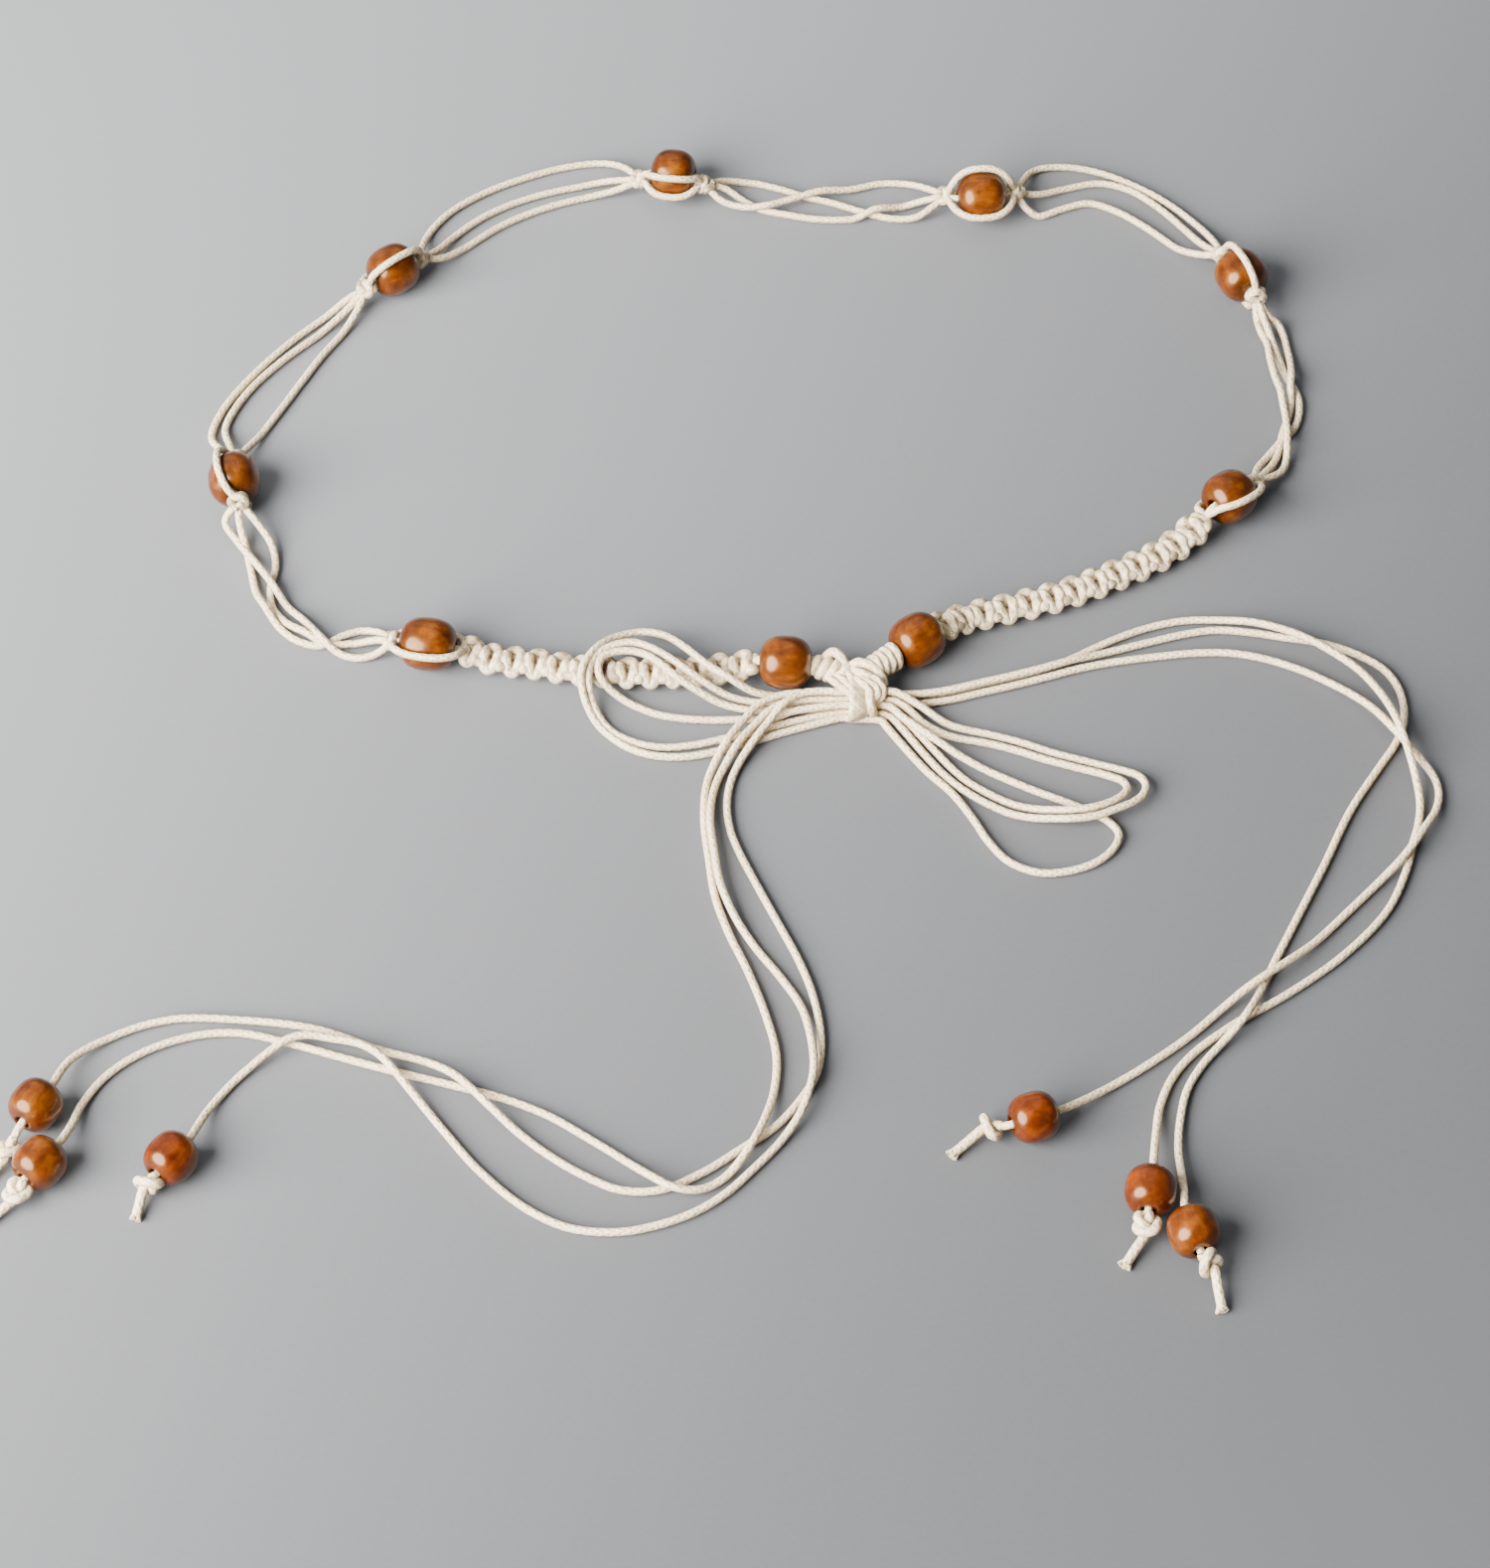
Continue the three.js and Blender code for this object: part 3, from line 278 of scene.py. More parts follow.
# The tails' cords, from the bow to their beads
TAILS = {
    "left_1": [
        (20.4, 22.2, 5), (16.5, 22.1, 5.1), (12, 21, 5.3), (8.2, 18, 5.4), (5.4, 14.6, 4.1),
        (2.5, 10.5, 3.3), (-0.8, 5.4, 1.8), (-2.9, 0.2), (-3.8, -7), (-3, -14), (-1.1, -20), (1.5, -26.3),
        (4.6, -33.5), (7.9, -41), (10.9, -48), (13.6, -56), (15.2, -64), (15.6, -71.5), (14.6, -78),
        (12, -83.4), (6.6, -90.8), (-0.6, -96.7), (-9, -103), (-17, -106.9), (-25, -106.9),
        (-33.1, -102.9), (-40, -98), (-46, -92.8, 1.3), (-51, -88, 2.5), (-55.6, -83.3, 3.3),
        (-59.8, -79, 2.8), (-65.2, -75.4, 1.6), (-75.2, -71.8), (-88, -66.6), (-103.2, -64.3),
        (-118, -64.1), (-130, -68.7), (-137.4, -75.4, 2.6),
    ],
    "left_2": [
        (20.4, 23.7, 3), (16.5, 23.6, 3.1), (8.4, 22.6, 3.2), (3.2, 19.9, 3.3), (-0.4, 15, 3.3),
        (-3.6, 9.8, 3.5), (-6.5, 4.4, 1.8), (-8.2, -1.1), (-8.7, -10.8), (-7.5, -22.5), (-6.2, -32),
        (-3.2, -42), (0.4, -51), (4, -62), (6.4, -73), (6, -82, 1.1), (4.3, -89.4, 2.4),
        (2.2, -95.3, 3.3), (-0.4, -99.9, 2.6), (-3.6, -103.6, 1.3), (-7, -106.2, 1.2), (-10.4, -107.6, 2),
        (-14.6, -107.6, 3.2), (-18.6, -105, 3), (-22.6, -101, 1.2), (-33.3, -93), (-39.8, -88.6),
        (-49, -84.3), (-61.3, -80.4), (-72.2, -77.2), (-83.3, -73.6), (-92.8, -70.4), (-104, -67.6),
        (-113.3, -68.4), (-123, -72.4), (-130.4, -78.8), (-134.4, -86, 1.5), (-136, -93, 3.3),
    ],
    "left_3": [
        (20.4, 21.6, 3), (14, 21.2, 3.1), (9, 20.1, 3.5), (5.4, 17.7, 3.7), (1.9, 13.6, 3.3),
        (-1.5, 8.7, 3.3), (-4.3, 3.6, 1.9), (-6.3, -1.5, 1.3), (-7.4, -11, 2.2), (-6.4, -21, 2.5),
        (-5.2, -29, 2.4), (-2.1, -37.6, 1.7), (2.2, -45.4), (7.5, -53.4), (11.6, -61, 1.2),
        (13.6, -70.6, 2.7), (14, -78.2, 3.3), (12.9, -84.2, 3.3), (11, -89.4, 2.5), (7, -95.4, 1.2),
        (2.2, -101.2), (-3.4, -107.4), (-9.5, -112), (-16.6, -115.2), (-25, -117.1), (-34.8, -116.2),
        (-43.5, -111.6), (-53.5, -102.1), (-61, -92.2), (-67.4, -83.7, 2), (-71.6, -78.5, 3.3),
        (-74.6, -74.8, 3.3), (-78.6, -71.9, 3), (-84.5, -70.2, 2.6), (-90, -69.6, 3.1),
        (-93.6, -70.8, 3.2), (-97.4, -73.4, 2.2), (-104.2, -80.2), (-108.6, -87.4, 1.6),
        (-110.4, -93, 3.5),
    ],
    "right_1": [
        (29.6, 22.6, 1.1), (37.5, 21.9), (44.2, 22.9), (51.2, 25), (58, 27), (65, 29.3), (71.7, 31.6),
        (76.8, 33), (83.4, 34.4), (91, 35.6), (98.4, 36.5), (106.1, 36.5), (113.3, 34.9), (120.7, 31.8),
        (126.4, 28.4), (131.6, 24, 1.7), (135.9, 18.8, 2.8), (139.2, 13.6, 3.3), (142, 9.2, 3.2),
        (145.2, 4.8, 2), (147.6, 0.8, 1.1), (148.2, -3.6), (147, -8.8, 1.7), (144.3, -14, 2.8),
        (141.6, -18.6, 3.3), (138.6, -22.6, 2.7), (134.4, -26.9, 1.4), (127, -35), (118.6, -44.4, 1.5),
        (112.4, -50.4, 2.9), (107.8, -54.3, 3.6), (103.2, -57.6, 2.8), (99, -61, 1.6), (90.6, -69),
        (81.1, -76.6), (74.4, -81.4, 1.2), (68.6, -86, 2.8),
    ],
    "right_2": [
        (29.6, 24.8, 1.1), (37.5, 24.2), (44.2, 25.3), (51.2, 27.4), (58, 29.4), (65, 31.8), (71.4, 34.8),
        (76.5, 37.9), (83, 41.5), (90, 44.4), (97, 46), (104, 45.9, 1.3), (111.4, 44.2, 2.6),
        (118.5, 41.2, 3.3), (123.6, 38.4, 3.3), (128.6, 35, 2.8), (133.5, 30.4, 2.6), (137.3, 23.6, 3.4),
        (139.6, 16.6, 4.8), (141, 10.6, 5.4), (142.3, 4.6, 4.5), (143.4, -0.8, 2.7), (143.9, -6.4, 1.3),
        (143, -12.3), (141.4, -17.5), (139.6, -24.2), (134.6, -35.4), (124.3, -47.5), (111, -58.3),
        (103.8, -63), (98.4, -67), (91.6, -73), (87, -79.2), (84.2, -86.3, 1.1), (83, -93.4, 2.2),
        (82.2, -99.4, 4),
    ],
    "right_3": [
        (29.6, 23.7, 3), (37.5, 23.1, 2.9), (44.2, 24.2, 2.9), (51.2, 26.3, 2.9), (58, 28.3, 2.9),
        (65, 30.6, 2.9), (71.5, 33.2, 2.6), (76.7, 35.5, 1.5), (82.9, 37.8), (89.7, 40), (96.4, 42),
        (103.4, 43.2), (111.5, 42.4), (118.8, 40.9), (124.4, 39.9), (129.6, 38.2), (134.9, 35.4),
        (139.4, 31.6), (142, 26.5), (142.8, 20.5), (142.2, 15.4), (140, 10.2), (136.2, 4), (129.1, -8),
        (122.2, -23.3), (115.5, -37.5), (111, -47), (108.2, -53.2), (106, -58.4, 1.9),
        (103.8, -63.2, 3.5), (101, -67.2, 3), (97.4, -70.9, 1.5), (93.4, -75.8), (90, -82), (88.2, -89.3),
        (87.3, -97, 1.5), (87.5, -104, 2.4), (87.6, -109, 3.8),
    ],
}

# The beads near the tails' ends, each with its knot and the cut end of its cord
END_BEADS = {
    "left_1": dict(x=-143.2, y=-88.9, heading=242, roll=40, long=0.8, wide=1.1,
                   knot=[-148.3, -98.4, 2.9], end=[-153.2, -105.6, 1]),
    "left_2": dict(x=-141.1, y=-103.2, heading=236, redness=0.2, roll=0, long=0.85, wide=1.1,
                   knot=[-145.2, -108.8, 3.6], end=[-151.6, -115.6, 1]),
    "left_3": dict(x=-114.9, y=-102, heading=236, redness=0.9, roll=100, long=0.85, wide=1.1,
                   knot=[-119, -107.2, 3.8], end=[-121.4, -113.6, 1]),
    "right_1": dict(x=58.2, y=-91.9, heading=200, redness=0.9, roll=80, long=0.72, wide=1.3,
                    knot=[49.6, -92.9, 3], end=[41.8, -98.2, 1]),
    "right_2": dict(x=80.8, y=-110, heading=262, redness=0.8, roll=0, long=0.8, wide=1.2,
                    knot=[79.7, -116.9, 3.8], end=[75.3, -125, 1]),
    "right_3": dict(x=88.8, y=-119.8, heading=284, redness=0.3, roll=180, long=0.8, wide=1.12,
                    knot=[91.6, -126.3, 3.8], end=[93.8, -135.6, 1]),
}

# The stopper beads, where the sinnets' tips reach them, and the wound bundles from there to the bow
# with the slack cords that lie on them
STOPPERS = {
    "left": dict(
        x=8.8, y=29.5, heading=178, tip=(2.9, 29.7, 5.2), seed=14, start=(14.9, 29.1, 5.2),
        end=(21.6, 27.2, 4.9), turns=3.6, radius=1.7, lean=1.1, bundle=2.8,
        loose=[
            [(16.4, 29.9, 5), (17.9, 30.9, 6.5), (19, 31.1, 7.4), (20.3, 30.3, 7.6), (21.3, 29, 6.9),
             (22.2, 27.4, 5.6), (22.6, 25.8, 4.6)],
        ],
    ),
    "right": dict(
        x=37.5, y=36.1, heading=37.7, tip=(42.4, 39.9, 5.2), seed=15, start=(32.7, 31.9, 5.5),
        end=(27.6, 27.6, 5.5), turns=3.6, radius=2.1, lean=-0.5, bundle=3,
        loose=[
            [(24.6, 26.8, 5.2), (23, 27.7, 6.2), (24.5, 28.1, 7.4), (26.2, 27.4, 7.8), (28, 26.6, 7.4),
             (29.5, 25.3, 6), (30.1, 24.3, 4.2)],
            [(23, 27.7, 6.2), (24.1, 26.2, 6.6), (26.2, 24.7, 7), (27.9, 23.7, 6.2), (28.8, 23, 5)],
        ],
    ),
}

# The bow draws its strands in: fully so within the first distance from its middle, less and less
# over the second
BOW_MIDDLE = (24.6, 20.8)
BOW_SQUEEZE = 0.68
BOW_CROWDED = (4.0, 13.0)

# The strands through the bow's middle: where each comes in, where it leaves, and its height
BOW_ENDS = (20.4, 29.6)
BOW_EASE = 1.2  # straight this far in from each end
BOW_HALF = 1.4  # lowest this far each side of the middle
BOW_SAG = 0.9
BOW_STRANDS = [
    (16.3, 15.5, 1.1), (18.4, 18.3, 1.1), (20.5, 20.5, 1.1), (22.6, 22.6, 1.1), (24.7, 24.8, 1.1),
    (19.4, 19.4, 3), (21.6, 21.5, 3), (23.7, 23.7, 3), (22.2, 22.6, 5),
]

# The turns over the middle of the bow
BOW_ARCHES = [
    [(20, 28.4, 4.6), (21.6, 27.4, 6), (22.8, 25, 6.4), (23.6, 22.8, 6), (24.2, 21, 4.6)],
    [(18.4, 28, 4.4), (19.8, 26.2, 5.8), (21.6, 23.9, 6), (23, 22, 5.6), (24.2, 20.6, 4.2)],
    [(16.6, 28, 4), (18, 25.8, 5.2), (20, 23.4, 5.6), (22.2, 21.4, 5.4), (24.2, 20, 4)],
    [(24.2, 27.4, 5), (24.9, 24.4, 6.7), (26.2, 23, 7.1), (27.9, 22, 6.9), (28.7, 20.6, 6.2),
     (27.4, 19, 4.6)],
    [(25.8, 27.6, 5), (27.1, 24.8, 6.7), (28.8, 23.1, 7), (29.8, 21.7, 6.2), (29.6, 20.6, 5),
     (27.9, 19.6, 3.6)],
    [(23.4, 26, 5), (24.4, 23.6, 6.8), (25.7, 22, 7.1), (26.9, 20.6, 6.7), (26.9, 18.9, 5.6),
     (26.3, 17.8, 3.6), (25.6, 18.2, 1.6)],
]

# The flat band and the single turn round the middle: their routes, then their sections
BOW_BANDS = {
    "band": (dict(centre=(24.3, 20.7, 3.6), half_y=4.1, half_z=2.6, lean=0.3),
             dict(diameter=4.7, sides=24, flatness=0.36)),
    "turn": (dict(centre=(27.4, 21.1, 3.6), half_y=3.3, half_z=2.5, lean=-0.5), dict(diameter=2.1)),
}


def laid(point):
    """A point of a route, in the frame and in metres"""
    return (Vector(point) - LOOP_CENTRE) * MM


def rounded(points, step=ROUTE_STEP, lowest=CORD_R):
    """Points at equal steps on a smooth curve through the given ones, never lower than lowest"""
    given = [Vector((*point, CORD_R)[:3]) for point in points]
    given = [2 * given[0] - given[1], *given, 2 * given[-1] - given[-2]]
    dense = []
    for first, start, end, last in zip(given, given[1:], given[2:], given[3:]):
        knots = [0.0]
        for here, there in ((first, start), (start, end), (end, last)):
            knots.append(knots[-1] + max((there - here).length, 1e-4) ** 0.5)
        pieces = max(4, ceil((end - start).length / (0.4 * step)))
        for piece in range(pieces):
            t = knots[1] + (knots[2] - knots[1]) * piece / pieces
            near = [
                here.lerp(there, (t - low) / (high - low))
                for here, there, low, high in zip((first, start, end), (start, end, last), knots, knots[1:])
            ]
            low = near[0].lerp(near[1], (t - knots[0]) / (knots[2] - knots[0]))
            high = near[1].lerp(near[2], (t - knots[1]) / (knots[3] - knots[1]))
            dense.append(low.lerp(high, (t - knots[1]) / (knots[2] - knots[1])))
    dense.append(given[-2])
    for point in dense:
        point.z = max(point.z, lowest)
    return evenly(dense, step)


def evenly(dense, step):
    """The same line with its points at equal steps"""
    travelled = [0.0]
    for here, there in zip(dense, dense[1:]):
        travelled.append(travelled[-1] + (there - here).length)
    count = max(2, round(travelled[-1] / step))
    even, index = [], 0
    for number in range(count + 1):
        wanted = travelled[-1] * number / count
        while index < len(travelled) - 2 and travelled[index + 1] < wanted:
            index += 1
        span = max(travelled[index + 1] - travelled[index], 1e-9)
        even.append(dense[index].lerp(dense[index + 1], (wanted - travelled[index]) / span))
    return even


def drawn_in(route):
    """The same route with its points near the bow crowded towards the bow's middle"""
    crowded = []
    for x, y, *height in route:
        apart = min(max((abs(x - BOW_MIDDLE[0]) - BOW_CROWDED[0]) / BOW_CROWDED[1], 0), 1)
        share = 1 - (1 - BOW_SQUEEZE) * (1 - apart) ** 2
        near = abs(y - BOW_MIDDLE[1]) < BOW_CROWDED[1]
        crowded.append((x, BOW_MIDDLE[1] + share * (y - BOW_MIDDLE[1]) if near else y, *height))
    return crowded


def length_of(points):
    return sum((there - here).length for here, there in zip(points, points[1:]))


def directions(way):
    """Along this way, level across it, and up from it"""
    forward = way.normalized()
    sideways = Vector((-forward.y, forward.x, 0)).normalized()
    return forward, sideways, forward.cross(sideways)


def spoke(angle, sideways, up):
    return cos(angle) * sideways + sin(angle) * up


# Nodes


class Wire:
    """A node's output that takes part in sums. Each sum adds the Math node that works it out."""

    def __init__(self, make, socket):
        self.make = make
        self.socket = socket

    def out(self, name):
        return Wire(self.make, self.socket.node.outputs[name])

    def math(self, operation, *others):
        return self.make("ShaderNodeMath", {"operation": operation}, self, *others)

    def vector(self, operation, *others, **named):
        return self.make("ShaderNodeVectorMath", {"operation": operation}, self, *others, **named)

    def scaled(self, factor):
        return self.vector("SCALE", Scale=factor)

    def ranged(self, low, high, top=1.0, **settings):
        """Nothing at low and top at high, held there beyond them"""
        return self.make("ShaderNodeMapRange", settings, self, From_Min=low, From_Max=high,
                         To_Min=0.0, To_Max=top)

    def __add__(self, other):
        return self.math("ADD", other)

    def __sub__(self, other):
        return self.math("SUBTRACT", other)

    def __mul__(self, other):
        return self.math("MULTIPLY", other)

    def __truediv__(self, other):
        return self.math("DIVIDE", other)

    def __rsub__(self, other):
        return self.make("ShaderNodeMath", {"operation": "SUBTRACT"}, other, self)

    __radd__ = __add__
    __rmul__ = __mul__


class Maker:
    """Adds nodes to one tree. It is called with a node's type."""

    def __init__(self, tree):
        self.tree = tree

    def __call__(self, kind, settings=None, *values, out=0, **named):
        """A node of this kind, with its settings and then the values or links of its sockets. A
        list is several links to one socket."""
        node = self.tree.nodes.new(kind)
        for setting, value in (settings or {}).items():
            if setting == "stops":
                elements = node.color_ramp.elements
                while len(elements) < len(value):
                    elements.new(0.5)
                for element, (place, colour) in zip(elements, value):
                    element.position = place
                    element.color = (*colour, 1)
            else:
                setattr(node, setting, value)
        for key, value in (*enumerate(values), *named.items()):
            if value is None:
                continue
            socket = node.inputs[key if isinstance(key, int) else key.replace("_", " ")]
            for link in value if isinstance(value, list) else [value]:
                if isinstance(link, Wire):
                    self.tree.links.new(link.socket, socket)
                else:
                    socket.default_value = link
        return Wire(self, node.outputs[out]) if len(node.outputs) else None

    def attribute(self, name, out="Fac"):
        return self("ShaderNodeAttribute", {"attribute_name": name}, out=out)

    def noise(self, place, scale, detail, **named):
        return self("ShaderNodeTexNoise", None, place, Scale=scale, Detail=detail, **named)

    def mixed(self, factor, first, second, blend="MIX"):
        """Two colours mixed"""
        colours = [value if isinstance(value, Wire) else (*value, 1) for value in (first, second)]
        return self("ShaderNodeMix", {"data_type": "RGBA", "blend_type": blend}, factor,
                    *[None] * 5, *colours, out=2)


# Finishes


def new_finish(name, colour, **constants):
    """A material with its Principled shader, whose constant values are set on its own sockets"""
    material = bpy.data.materials.new(name)
    material.use_nodes = True
    material.diffuse_color = (*colour, 1)
    shader = material.node_tree.nodes["Principled BSDF"]
    for key, value in constants.items():
        shader.inputs[key.replace("_", " ")].default_value = value
    return material, Maker(material.node_tree), shader


def feed(make, shader, **links):
    for key, wire in links.items():
        make.tree.links.new(wire.socket, shader.inputs[key.replace("_", " ")])


def waxed_cotton(name, pale, tan_and_groove_shade, fleck, painted_shade_colour):
    """Cotton cord: two crossing sets of yarns under wax, with loose fibres and a few tan flecks. Its colour
    also holds painted shade: darker yarn grooves, and a dull grey-brown inside knots and on the
    underside and flanks of each cord
    """
    material, make, shader = new_finish(
        name, pale, Sheen_Weight=0.06, Sheen_Roughness=0.5, Specular_IOR_Level=0.45,
    )
    along = make.attribute("along")
    around = make.attribute("around", "Vector")
    parts = make("ShaderNodeSeparateXYZ", None, around)
    turn = parts.out("Y").math("ARCTAN2", parts.out("X")) * YARN_STARTS
    travel = along * (2 * pi / (YARN_LAY * MM))
    yarns = (turn + travel).math("SINE").math("MAXIMUM", (turn - travel).math("SINE")) * 0.5 + 0.5
    twisted = make("ShaderNodeVectorRotate", {"rotation_type": "Z_AXIS"}, around,
                   Angle=along * (2 * pi / (FIBRE_LAY * MM)))
    parts = make("ShaderNodeSeparateXYZ", None, twisted)
    place = make("ShaderNodeCombineXYZ", None, parts.out("X") * 3, parts.out("Y") * 3, along * 520)
    fibres = make.noise(place, 1.0, 5.0, Roughness=0.7)
    streaks = fibres.ranged(0.42, 0.66)
    where = make("ShaderNodeTexCoord", out="Object")
    patches = make.noise(where, 260.0, 3.0)
    spotted = make.noise(where, 1700.0, 3.0).ranged(0.53, 0.72, 0.6)
    tone = make.mixed(streaks * (patches * 1.4 + 0.1), pale, tan_and_groove_shade)
    # Painted shade: the grooves between the yarns are darkened towards the tan colour, which also colours
    # the tan streaks above
    tone = make.mixed((1 - yarns) * 0.5, tone, tan_and_groove_shade)
    tone = make.mixed(spotted, tone, fleck)
    # Painted shade: inside knots and on the underside and flanks of each cord the colour is multiplied
    # towards a dull grey-brown
    buried = make.attribute("buried")
    under = make.attribute("under")
    tone = make.mixed((buried * 0.9).math("MAXIMUM", under * 0.8), tone, painted_shade_colour, "MULTIPLY")
    height = yarns * 0.5 + fibres * 0.5
    bump = make("ShaderNodeBump", None, Strength=1.0, Distance=0.3 * MM, Height=height)
    wax = patches * 0.25 + 0.55
    feed(make, shader, Base_Color=tone, Roughness=wax, Normal=bump)
    return material


def varnished_wood(name, light, middle, dark, red):
    """Stained hardwood under a thick gloss varnish, with grain along the bore, darker ends and a red
    stain that is stronger on some beads"""
    material, make, shader = new_finish(
        name, middle, Coat_Roughness=0.14, Coat_IOR=1.36, Specular_IOR_Level=0.45,
        Specular_Tint=(1, 0.5, 0.15, 1),
    )
    grain_at = make.attribute("grain_at", "Vector")
    stretched = make("ShaderNodeMapping", None, grain_at, Scale=(110, 420, 420))
    grain = make.noise(stretched, 1.0, 5.0, Roughness=0.6, Distortion=0.6)
    mottle = make.noise(grain_at, 300.0, 3.0, Roughness=0.55)
    lines = make("ShaderNodeMapping", None, grain_at, Scale=(500, 2600, 2600))
    depth = grain * 0.4 + mottle * 0.6
    tone = make("ShaderNodeValToRGB", {"stops": [(0.3, dark), (0.5, middle), (0.7, light)]}, depth)
    pores = make.noise(lines, 1.0, 2.0).ranged(0.6, 0.72, 0.4)
    tone = make.mixed(pores, tone, dark)
    tone = make.mixed(make.attribute("redness"), tone, red, "MULTIPLY")
    tone = make.mixed(make.attribute("end_share").math("POWER", 3.0) * 0.55, tone, dark)
    bump = make("ShaderNodeBump", None, Strength=0.25, Distance=0.05 * MM, Height=grain)
    feed(make, shader, Base_Color=tone, Roughness=grain * 0.15 + 0.24, Coat_Weight=mottle * 0.1 + 0.5,
         Normal=bump)
    return material


def smooth_board(name, light, dark):
    """The plain surface that the belt lies on. Its colour is painted light: paler towards its back left
    corner and darker towards its front right, standing in for uneven lighting
    """
    material, make, shader = new_finish(name, light, Specular_IOR_Level=0.3)
    where = make("ShaderNodeTexCoord", out="Object")
    place = make("ShaderNodeSeparateXYZ", None, where)
    # Painted light: the colour runs from light to dark across the board
    slope = place.out("X") * 0.85 - place.out("Y") * 0.75
    painted_light_falloff = slope.ranged(-0.3, 0.3, interpolation_type="SMOOTHSTEP")
    grain = make.noise(where, 900.0, 2.0)
    tone = make.mixed(painted_light_falloff + (grain - 0.5) * 0.08, light, dark)
    feed(make, shader, Base_Color=tone, Roughness=grain * 0.1 + 0.6)
    return material


COTTON = waxed_cotton(
    # The second colour is both the tan of the streaks and painted shade in the yarn grooves
    "waxed_cotton", pale=(0.98, 0.81, 0.53), tan_and_groove_shade=(0.52, 0.38, 0.22), fleck=(0.26, 0.17, 0.09),
    # The last colour is painted shade, for knots and the undersides of cords
    painted_shade_colour=(0.36, 0.33, 0.3),
)
WOOD = varnished_wood(
    "varnished_wood", light=(0.19, 0.053, 0.0014), middle=(0.084, 0.0178, 0.0005),
    dark=(0.02, 0.0033, 0.0003), red=(0.95, 0.6, 0.7),
)
# Its light and dark colours are the two ends of the painted light falloff
BOARD = smooth_board("pale_board", light=(0.232, 0.238, 0.248), dark=(0.08, 0.082, 0.087))

# Cords made by Geometry Nodes


def open_tree(name, inputs):
    """A new tree with its named inputs, as wires"""
    tree = bpy.data.node_groups.new(name, "GeometryNodeTree")
    tree.interface.new_socket("Geometry", in_out="INPUT", socket_type="NodeSocketGeometry")
    for label, kind in inputs.items():
        tree.interface.new_socket(label, in_out="INPUT", socket_type=f"NodeSocket{kind}")
    tree.interface.new_socket("Geometry", in_out="OUTPUT", socket_type="NodeSocketGeometry")
    make = Maker(tree)
    entry = tree.nodes.new("NodeGroupInput")
    return make, {socket.name: Wire(make, socket) for socket in entry.outputs if socket.name}


def close_tree(make, geometry, material):
    real = make("GeometryNodeRealizeInstances", None, geometry)
    covered = make("GeometryNodeSetMaterial", None, real, Material=material)
    make("NodeGroupOutput", None, covered)
    return make.tree


def stored(make, geometry, kind, name, value):
    return make(
        "GeometryNodeStoreNamedAttribute", {"data_type": kind, "domain": "POINT"},
        geometry, None, name, value,
    )


def swept(make, curve, given, diameter, flatness=None, buried=0.0):
    """A cord along a curve. It keeps how far along and which way round each point is, how much
    painted shade it gets for lying deep in a knot, and how much it faces down, for the painted shade
    on its underside and flanks."""
    along = make("GeometryNodeSplineParameter", out="Length")
    marked = stored(make, curve, "FLOAT", "along", along)
    marked = stored(make, marked, "FLOAT", "buried", buried)
    ring = make("GeometryNodeCurvePrimitiveCircle", None, given["Sides"], Radius=diameter * 0.5)
    way = make("GeometryNodeInputPosition").vector("NORMALIZE")
    ring = stored(make, ring, "FLOAT_VECTOR", "around", way)
    if flatness is not None:
        squeeze = make("ShaderNodeCombineXYZ", None, flatness, 1.0, 1.0)
        at = make("GeometryNodeInputPosition").vector("MULTIPLY", squeeze)
        ring = make("GeometryNodeSetPosition", None, ring, None, at)
    lump = make("ShaderNodeTexNoise", {"noise_dimensions": "1D"}, W=along * 420, Detail=2.0)
    thickness = (lump - 0.5) * given["Unevenness"] + 1
    tube = make("GeometryNodeCurveToMesh", None, marked, ring, thickness, True)
    # Painted shade: the less a point of the tube faces up, the more it is marked for the cotton's dull
    # shade colour, standing in for the shade beneath and beside a cord
    facing = make("ShaderNodeSeparateXYZ", None, make("GeometryNodeInputNormal")).out("Z")
    return stored(make, tube, "FLOAT", "under", facing.ranged(0.75, -0.35))


CORD_SIZES = {"Diameter": "Float", "Sides": "Int", "Unevenness": "Float", "Flatness": "Float",
              "Material": "Material"}


def laid_cord_tree():
    """One cord along each spline"""
    make, given = open_tree("laid_cord", CORD_SIZES)
    tube = swept(make, given["Geometry"], given, given["Diameter"], given["Flatness"])
    return close_tree(make, tube, given["Material"])


